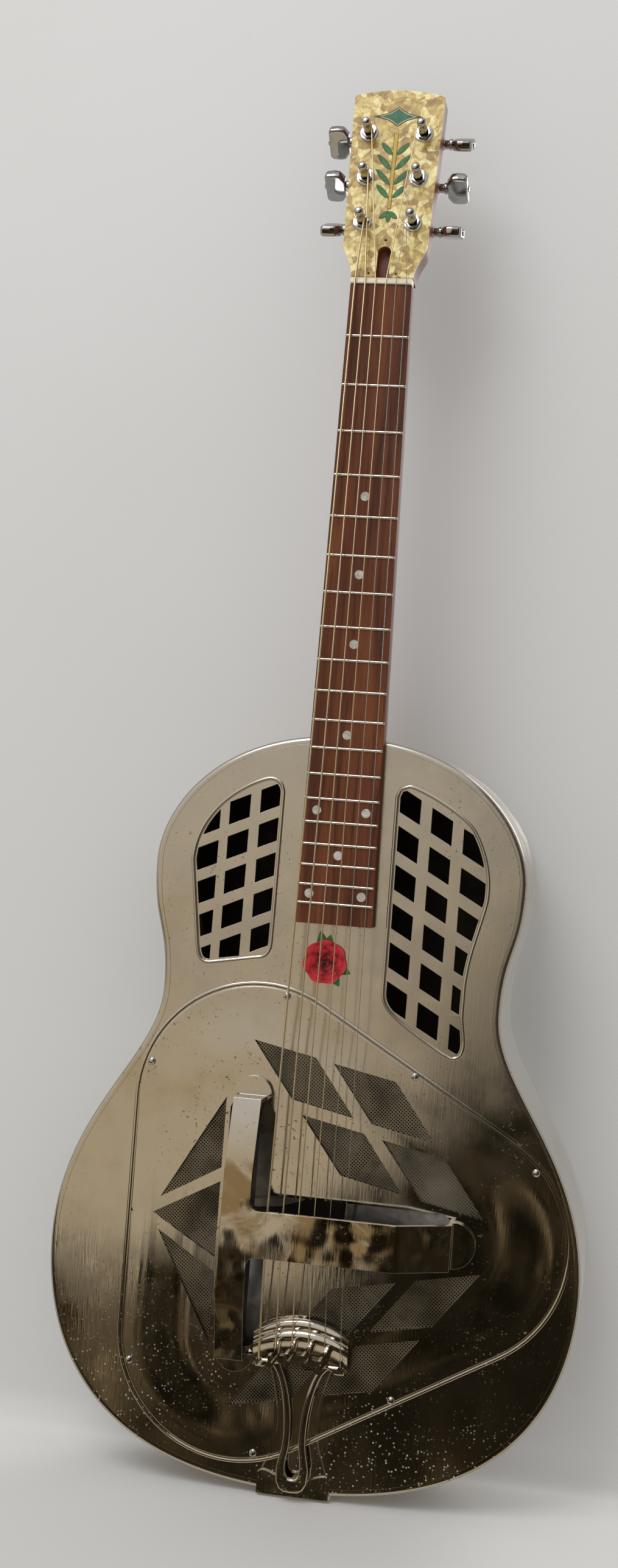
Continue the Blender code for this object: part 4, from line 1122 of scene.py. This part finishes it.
def make_flower():
    """A made-up flower of round petals with four leaves, where the shell carries its transfer."""
    cx, cy = -5.0, -463.0
    at = Matrix.Translation((cx, cy, 0.0))
    for number, (turn, length) in enumerate(((12, 21.5), (-8, 19.0), (215, 19.5), (250, 19.5))):
        shape = leaf(0, 0, length, 6.0, radians(turn))
        finish(plate(f"flower_leaf_{number + 1}", [shape], 0.03, 0.13, 0.03, at), "green")
    rings = ((7, 15.4, 7.0, 0.0), (6, 12.0, 6.0, 0.5), (5, 8.8, 4.8, 0.2), (4, 5.8, 3.6, 0.7),
             (3, 3.2, 2.2, 0.1))
    for ring, (count, reach, width, start) in enumerate(rings):
        for index in range(count):
            angle = start + 2 * pi * index / count
            points, faces, along = [], [], []
            for row in range(7):
                share = row / 6
                half = width * (0.3 + 0.8 * sin(pi / 2 * share ** 0.8))
                out = reach * share
                for column in range(9):
                    side = (column - 4) / 4
                    curl = 0.5 * share * share + 0.5 * (1 - side * side)
                    swing = out - 0.55 * width * share * side * side
                    x = side * half
                    points.append((x * cos(angle) - swing * sin(angle), x * sin(angle) + swing * cos(angle),
                                   0.12 + ring * 0.24 + curl + 0.05 * index))
                    # Darker toward the root, the sides and the inner rings: partly printed tone, partly painted
                    # shade where petals overlap and cover each other.
                    along.append(share * (1 - 0.55 * side * side) * (1 - 0.07 * ring))
            for row in range(6):
                for column in range(8):
                    k = row * 9 + column
                    faces.append((k, k + 1, k + 10, k + 9))
            petal = mesh_object(f"petal_{ring + 1}_{index + 1}", points, faces, at)
            layer = petal.data.attributes.new("along", "FLOAT", "POINT")
            layer.data.foreach_set("value", along)
            thick = petal.modifiers.new("thickness", "SOLIDIFY")
            thick.thickness = 0.08 * MM
            bake(petal)
            finish(petal, "petal", crease=70)


# Tuning machines ------------------------------------------------------------------------------


def tuner_matrix(index):
    x, y = post_places()[index]
    turn = Matrix.Scale(-1, 4, (1, 0, 0)) if x < 0 else Matrix.Identity(4)
    return head_matrix() @ Matrix.Translation((x, y, 0)) @ turn


def side_matrix(offset, depth):
    return Matrix.Translation((0, offset, depth)) @ Matrix.Rotation(radians(90), 4, "Y")


def make_tuner(index):
    at = tuner_matrix(index)
    number = index + 1
    back = -HEAD_THICKNESS - GAP
    axis = at @ side_matrix(4.5, back - 5.6)
    box = rounded(rectangle(-9, -8, 9.5, 10), [3.5] * 4, 8)
    housing = prisms(f"gear_case_{number}", [box], back - 11.5, back, at)
    bevel(housing, 1.6, 4, 60)
    drill(housing, 3.3, back - 6.0, 5.0, 24, at)
    drill(housing, 2.6, 3.0, 20.0, 20, axis)
    finish(housing, "chrome", f"tuner_{number}_housing")

    stalk = [(3.1, 4.4), (3.1, 6.6), (2.75, 7.8), (2.3, 9.4), (2.3, 11.2), (2.75, 12.4), (3.2, 13.8), (3.1, 15.1),
             (2.3, 16.3), (1.2, 16.8)]
    profile = [(2.7, back - 5.6), (2.7, 3.6), *smooth_profile(stalk, 4), (0.2, 16.9)]
    post = lathe(f"string_post_{number}", profile, 28, at)
    drill(post, 0.6, -6.0, 6.0, 12, at @ side_matrix(0.0, 10.6))
    finish(post, "chrome", f"tuner_{number}_post", f"post_{number}")

    turn = Matrix.Rotation(0.4 * index, 4, "Z")
    nut = prisms(f"hex_nut_{number}", [circle(0, 0, 5.4, 6)], 1.0, 3.1, at @ turn)
    bevel(nut, 0.45, 3)
    drill(nut, 3.4, -20.0, 20.0, 28, at)
    finish(nut, "chrome", f"tuner_{number}_bushing")
    ring = [(3.5, GAP), (6.2, GAP), (6.4, 0.6), (6.1, 1.0), (4.6, 1.25), (3.5, 1.2)]
    loops = [[(x, y, z) for x, y in circle(0, 0, r, 36)] for r, z in ring]
    finish(loft(f"washer_{number}", loops, closed=True, matrix=at), "chrome")

    shaft = [(2.2, 3.6), (2.2, 9.9), (3.7, 9.9), (3.9, 10.2), (3.9, 11.0), (3.6, 11.5), (3.1, 11.9), (3.1, 15.1),
             (3.6, 15.4), (3.9, 15.8), (3.9, 16.9), (3.6, 17.2), (2.4, 17.4), (2.4, 20.0)]
    button = lathe(f"button_knob_{number}", shaft, 28, axis)
    knob_half = [(6.4, 17.6), (10.9, 21.0), (11.5, 25.0), (10.9, 30.4), (9.0, 32.0)]
    outline = rounded([(-a, o) for a, o in knob_half] + knob_half[::-1], [2.0, 3.0, 9.0, 1.3, 1.5] * 2, 5)
    turned = radians(BUTTON_TURNS[index])
    edge = ((-3.6, 0.82), (-3.45, 0.89), (-3.0, 0.95), (-2.2, 0.985), (-1.0, 1.0))
    c, s = cos(turned), sin(turned)
    loops = []
    for thick, grow in (*edge, *((-thick, grow) for thick, grow in reversed(edge))):
        loops.append([(a * grow * c - thick * s, a * grow * s + thick * c, 25.0 + (o - 25.0) * grow)
                      for a, o in outline])
    combine(button, loft("knob", loops, matrix=axis), "UNION")
    combine(button, lathe("cap", [(2.2, 31.0), (2.2, 32.3), (1.8, 32.8), (0.6, 33.0)], 20, axis), "UNION")
    finish(button, "chrome", f"tuner_{number}_button", f"button_{number}")


# Strings and tail -----------------------------------------------------------------------------


def string_x(index, spread):
    return (index / 5 - 0.5) * spread


def head_sag(x):
    return 56.0 - sqrt(56.0 ** 2 - x * x)


def make_string(index):
    """From the keyhole of the tailpiece over the saddle and the nut to its turns round the post."""
    radius = STRING_RADII[index]
    order = (0, 1, 2, 5, 4, 3)
    side = 1 if index < 3 else -1
    nut_x = string_x(index, NUT_SPREAD)
    saddle_x = string_x(index, SADDLE_SPREAD)
    tail_x = string_x(index, SADDLE_SPREAD + 2.5)
    drop = head_sag(tail_x)
    path = [(tail_x, -727.6 - drop, 6.0), (tail_x, -726.4 - drop, 8.3), (tail_x, -723.6 - drop, 10.2),
            (tail_x, -717.0 - drop, 12.4), (tail_x * 0.99, -706.0 - drop, 13.4),
            (saddle_x, SADDLE_Y - 3.0, STRING_AT_SADDLE - 0.3), (saddle_x, SADDLE_Y, STRING_AT_SADDLE),
            (saddle_x, SADDLE_Y + 3.0, STRING_AT_SADDLE - 0.05), (nut_x, -1.0, STRING_AT_NUT),
            (nut_x, 1.6, STRING_AT_NUT)]
    local = tuner_matrix(order[index]).to_translation()
    post = tuner_matrix(order[index]) @ Vector((0, 0, 10.4))
    gap = post - Vector((nut_x, 1.6, STRING_AT_NUT))
    wrap = 2.3 + 0.5 + radius
    tangent = atan2(-gap.y, -gap.x) + side * acos(wrap / hypot(gap.x, gap.y))
    turns, steps = 1.6, 48
    for step in range(steps + 1):
        angle = tangent + side * 2 * pi * turns * step / steps
        lift = 11.2 - 1.5 * step / steps - (radius - 0.3)
        offset = head_matrix().to_3x3() @ Vector((wrap * cos(angle), wrap * sin(angle), lift))
        path.append(tuple(local + offset))
    kind = "bronze" if index < 4 else "steel"
    finish(tube(f"wire_{index + 1}", path, radius, 10), kind, f"string_{index + 1}", crease=80)


def make_tailpiece():
    bands = ((0.0, 6.2), (0.0, 8.2), (0.6, 9.6), (2.2, 10.7), (4.4, 11.0), (6.6, 10.4), (7.6, 9.5), (8.1, 9.0),
             (8.6, 9.5), (9.8, 10.5), (11.5, 10.9))
    slope = ((14.5, 10.5), (17.0, 9.5), (19.5, 8.6), (24.0, 7.9), (28.0, 7.6), (28.6, 7.0), (28.6, 5.8))
    over = (*bands, *slope, (28.0, 5.3), (18.0, 5.3), (8.0, 5.3), (1.0, 5.3))
    loops = []
    half = 32.5
    for step in range(33):
        x = -half + 2 * half * step / 32
        loops.append([(x, -703.5 - head_sag(x) * (1 - 0.45 * away / 28.6) - away, z) for away, z in over])
    tail = loft("tailpiece_casting", loops)
    outer = [(30.0, -733.0), (31.0, -738.6), (25.0, -738.9)]
    outer += bezier((20.0, -736.0), (12.5, -741.0), (8.2, -762.0), (7.8, -782.0), 16)
    outer += bezier((7.8, -782.0), (7.9, -796.0), (11.6, -800.0), (11.2, -809.0), 10)
    outer += [(10.6, -814.0), (8.4, -818.5), (5.0, -820.6), (0.0, -821.0)]
    inner = bezier((0.0, -811.4), (4.6, -811.4), (5.2, -806.0), (4.9, -802.0), 8)
    inner += bezier((4.9, -802.0), (4.4, -796.0), (2.9, -794.0), (2.8, -782.0), 8)
    inner += bezier((2.8, -782.0), (3.0, -762.0), (7.0, -748.0), (12.6, -736.5), 16)
    inner += [(12.6, -736.5), (13.6, -732.5), (0.0, -729.5)]
    arms = plate("arms", [mirrored(outer), mirrored(inner)], 5.0, 8.9, 1.4)
    holes = []
    for index in range(6):
        x = string_x(index, SADDLE_SPREAD + 2.5)
        y = -727.6 - head_sag(x)
        angles = [radians(113 + 15.7 * k) for k in range(21)]
        ring = [(x + 2.4 * cos(a), y + 2.4 * sin(a)) for a in angles]
        holes.append(ring + [(x + 0.95, y + 6.5), (x - 0.95, y + 6.5)])
    for piece in (tail, arms):
        cut(piece, holes, 0.0, 30.0)
    combine(tail, arms, "UNION")
    foot = prisms("foot", [rectangle(-8.0, -814.0, 8.0, -820.4)], 2.2, 6.0)
    combine(tail, foot, "UNION")
    finish(tail, "hardware", "tailpiece")


def make_trough_lines():
    """The stamped ridges that frame the tailpiece down to the rim."""
    for side in (-1, 1):
        path = []
        for x, y in trough_side(14):
            away = edge_distance(side * x, y)
            path.append((side * x, y, cover_height(away) - 0.1 if away > 0.8 else 0.15))
        ridge = tube(f"trough_ridge_{'bass' if side < 0 else 'treble'}", path, 0.45, 10)
        finish(ridge, "plate", crease=70)


def edge_distance(x, y):
    """How far in from the coverplate's edge a point lies."""
    centres = cone_centres()
    best = 1e9
    inside = True
    for index, (ax, ay) in enumerate(centres):
        bx, by = centres[(index + 1) % 3]
        dx, dy = bx - ax, by - ay
        share = max(0.0, min(1.0, ((x - ax) * dx + (y - ay) * dy) / (dx * dx + dy * dy)))
        best = min(best, hypot(x - ax - share * dx, y - ay - share * dy))
        inside = inside and dx * (y - ay) - dy * (x - ax) > 0
    return COVER_RADIUS + best if inside else COVER_RADIUS - best


def make_bracket():
    lip = bezier((25.0, -812.0), (20.5, -806.0), (14.0, -815.0), (0.0, -814.5), 12)
    bracket = prisms("tail_plate", [mirrored([(25.0, -825.9), (25.0, -812.0)] + lip)], GAP, 1.8)
    leg = mirrored([(25.0, 1.8), (25.0, -8.0), (14.0, -44.0), (8.0, -50.0)])
    loops = [[(x, y, z) for x, z in leg] for y in (TAIL_Y - 1.9, TAIL_Y - 0.4)]
    combine(bracket, loft("leg", loops), "UNION")
    drill(bracket, END_BORE, -20, 20, 28, end_pin_matrix())
    bevel(bracket, 0.3, 2, 50)
    finish(bracket, "hardware", "tail_bracket")


# Carried-over nodes, stage, light and camera --------------------------------------------------


def dress_frame_nodes():
    """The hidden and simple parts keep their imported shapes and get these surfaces."""
    chosen = {
        # The sound well gets the near-black inside colour, which is painted shade.
        "inside": ["sound_well"],
        "aluminium": ["cone_treble", "cone_bass_upper", "cone_bass_lower", "t_bridge"],
        "maple": ["saddle", "neck_stick"],
        "chrome": ["end_pin"],
    }
    for kind, names in chosen.items():
        for name in names:
            dress(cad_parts[name], kind)


def make_stage():
    """A pale sheet that runs along the floor and turns up close behind the guitar."""
    wall_y, bend, reach, height = 0.066, 0.02, 4.0, 4.0
    profile = [(-reach, 0.0)]
    for step in range(13):
        angle = pi / 2 * step / 12
        profile.append((wall_y - bend + bend * sin(angle), bend - bend * cos(angle)))
    profile.append((wall_y, height))
    for name, part in (("floor", profile[:2]), ("wall", profile[1:])):
        work = bmesh.new()
        rows = [[work.verts.new((side * reach, y, z - 0.0005)) for side in (-1, 1)] for y, z in part]
        for one, two in zip(rows, rows[1:]):
            work.faces.new((one[0], one[1], two[1], two[0]))
        mesh = bpy.data.meshes.new(name)
        work.to_mesh(mesh)
        work.free()
        sheet = object_of(name, mesh)
        mesh.shade_smooth()
        mesh.materials.append(MATERIALS["paper"] if name == "floor" else one_sided(MATERIALS["paper"]))
        sheet.visible_glossy = False
        if name == "wall":
            sheet.visible_diffuse = False
            sheet.visible_shadow = False
    rear = bpy.data.meshes.new("rear_floor")
    corners = [(x, y, -0.0006) for x, y in rectangle(-reach, wall_y, reach, reach)]
    rear.from_pydata(corners, [], [(0, 1, 2, 3)])
    rear.materials.append(MATERIALS["paper"])
    floor = object_of("rear_floor", rear)
    floor.visible_glossy = False


def one_sided(paper_material):
    """Paper seen from the front, clear from behind, so that the back of the guitar can be seen."""
    material = paper_material.copy()
    material.name = "paper_one_sided"
    tree = material.node_tree
    shader = tree.nodes["Principled BSDF"]
    clear = tree.nodes.new("ShaderNodeBsdfTransparent")
    side = tree.nodes.new("ShaderNodeNewGeometry")
    choose = tree.nodes.new("ShaderNodeMixShader")
    tree.links.new(side.outputs["Backfacing"], choose.inputs[0])
    tree.links.new(shader.outputs["BSDF"], choose.inputs[1])
    tree.links.new(clear.outputs["BSDF"], choose.inputs[2])
    tree.links.new(choose.outputs["Shader"], tree.nodes["Material Output"].inputs["Surface"])
    return material


def make_world():
    """Even light for the paper; the metal sees a pale room with a dark, warm figure low in front."""
    world = bpy.data.worlds.new("studio")
    bpy.context.scene.world = world
    world.use_nodes = True
    g = Graph(world.node_tree, "Generated")
    x, y, z = g.split()
    ahead = g.math("MAXIMUM", g.times(y, -1.0), 0.05)
    u = g.math("DIVIDE", x, ahead)
    v = g.math("DIVIDE", z, ahead)
    slant = g.math("SUBTRACT", g.plus(v, 0.099), g.times(g.plus(u, 0.083), 1.75))
    level = g.plus(v, 0.27)
    depth = g.math("MINIMUM", slant, level)
    streaks = g.add("ShaderNodeCombineXYZ", {"X": g.times(u, 16.0), "Y": g.times(v, 4.0)})
    streaks = g.noise(1.0, 4.0, 0.55, 0.8, streaks.outputs["Vector"])
    depth = g.plus(depth, g.times(g.math("SUBTRACT", streaks, 0.5), 0.24))
    dark = g.span(depth, 0.03, -0.02)
    dark = g.times(dark, g.span(v, -1.3, -0.9))
    dark = g.times(dark, g.span(y, -0.1, -0.4))
    pale = g.mix(g.span(z, -0.15, 0.35), (0.54, 0.455, 0.33), (0.66, 0.65, 0.62))
    pale = g.mix(g.span(y, -0.45, 0.15), pale, (0.38, 0.37, 0.35))
    smoke = g.ramp(streaks, (0.40, (0.008, 0.007, 0.004)), (0.52, (0.024, 0.018, 0.010)),
                   (0.60, (0.085, 0.060, 0.030)), (0.68, (0.25, 0.19, 0.11)), (0.77, (0.50, 0.44, 0.32)))
    seen = g.mix(dark, pale, smoke)
    glossy = g.add("ShaderNodeLightPath").outputs["Is Glossy Ray"]
    back = world.node_tree.nodes["Background"]
    g.feed(back.inputs["Color"], g.mix(glossy, (0.66, 0.655, 0.65), seen))
    back.inputs["Strength"].default_value = 1.0


def make_lights():
    spots = (
        ("key", (-0.7, -1.3, 2.3), 1.4, 19.0),
        ("rear", (1.2, 2.4, 1.6), 1.6, 20.0),
    )
    aim = Vector((0.0, 0.0, 0.45))
    for name, spot, size, power in spots:
        data = bpy.data.lights.new(name, "AREA")
        data.shape = "DISK"
        data.size = size
        data.energy = power
        light = object_of(name, data)
        light.location = spot
        light.rotation_mode = "QUATERNION"
        light.rotation_quaternion = (aim - Vector(spot)).to_track_quat("-Z", "Y")


def make_camera():
    data = bpy.data.cameras.new("camera")
    data.lens = 38.92
    data.sensor_width = 36.0
    data.shift_x = -0.0732
    data.shift_y = 0.0140
    camera = object_of("camera", data)
    right = Vector((0.98771, 0.13743, 0.07444))
    up = Vector((-0.07186, -0.02365, 0.99713))
    back = right.cross(up).normalized()
    turn = Matrix((right, up, back)).transposed().to_4x4()
    camera.matrix_world = Matrix.Translation((0.2145, -1.1620, 0.4597)) @ turn
    bpy.context.scene.camera = camera
    bpy.context.scene.view_settings.view_transform = "Standard"


make_camera()
make_world()
make_lights()
make_stage()
make_shell()
make_cover()
make_screens()
make_screws()
make_palm_rest()
make_fretboard()
make_nut()
make_neck()
make_overlay()
make_ornament()
make_flower()
for tuner in range(6):
    make_tuner(tuner)
for string in range(6):
    make_string(string)
make_tailpiece()
make_trough_lines()
make_bracket()
dress_frame_nodes()
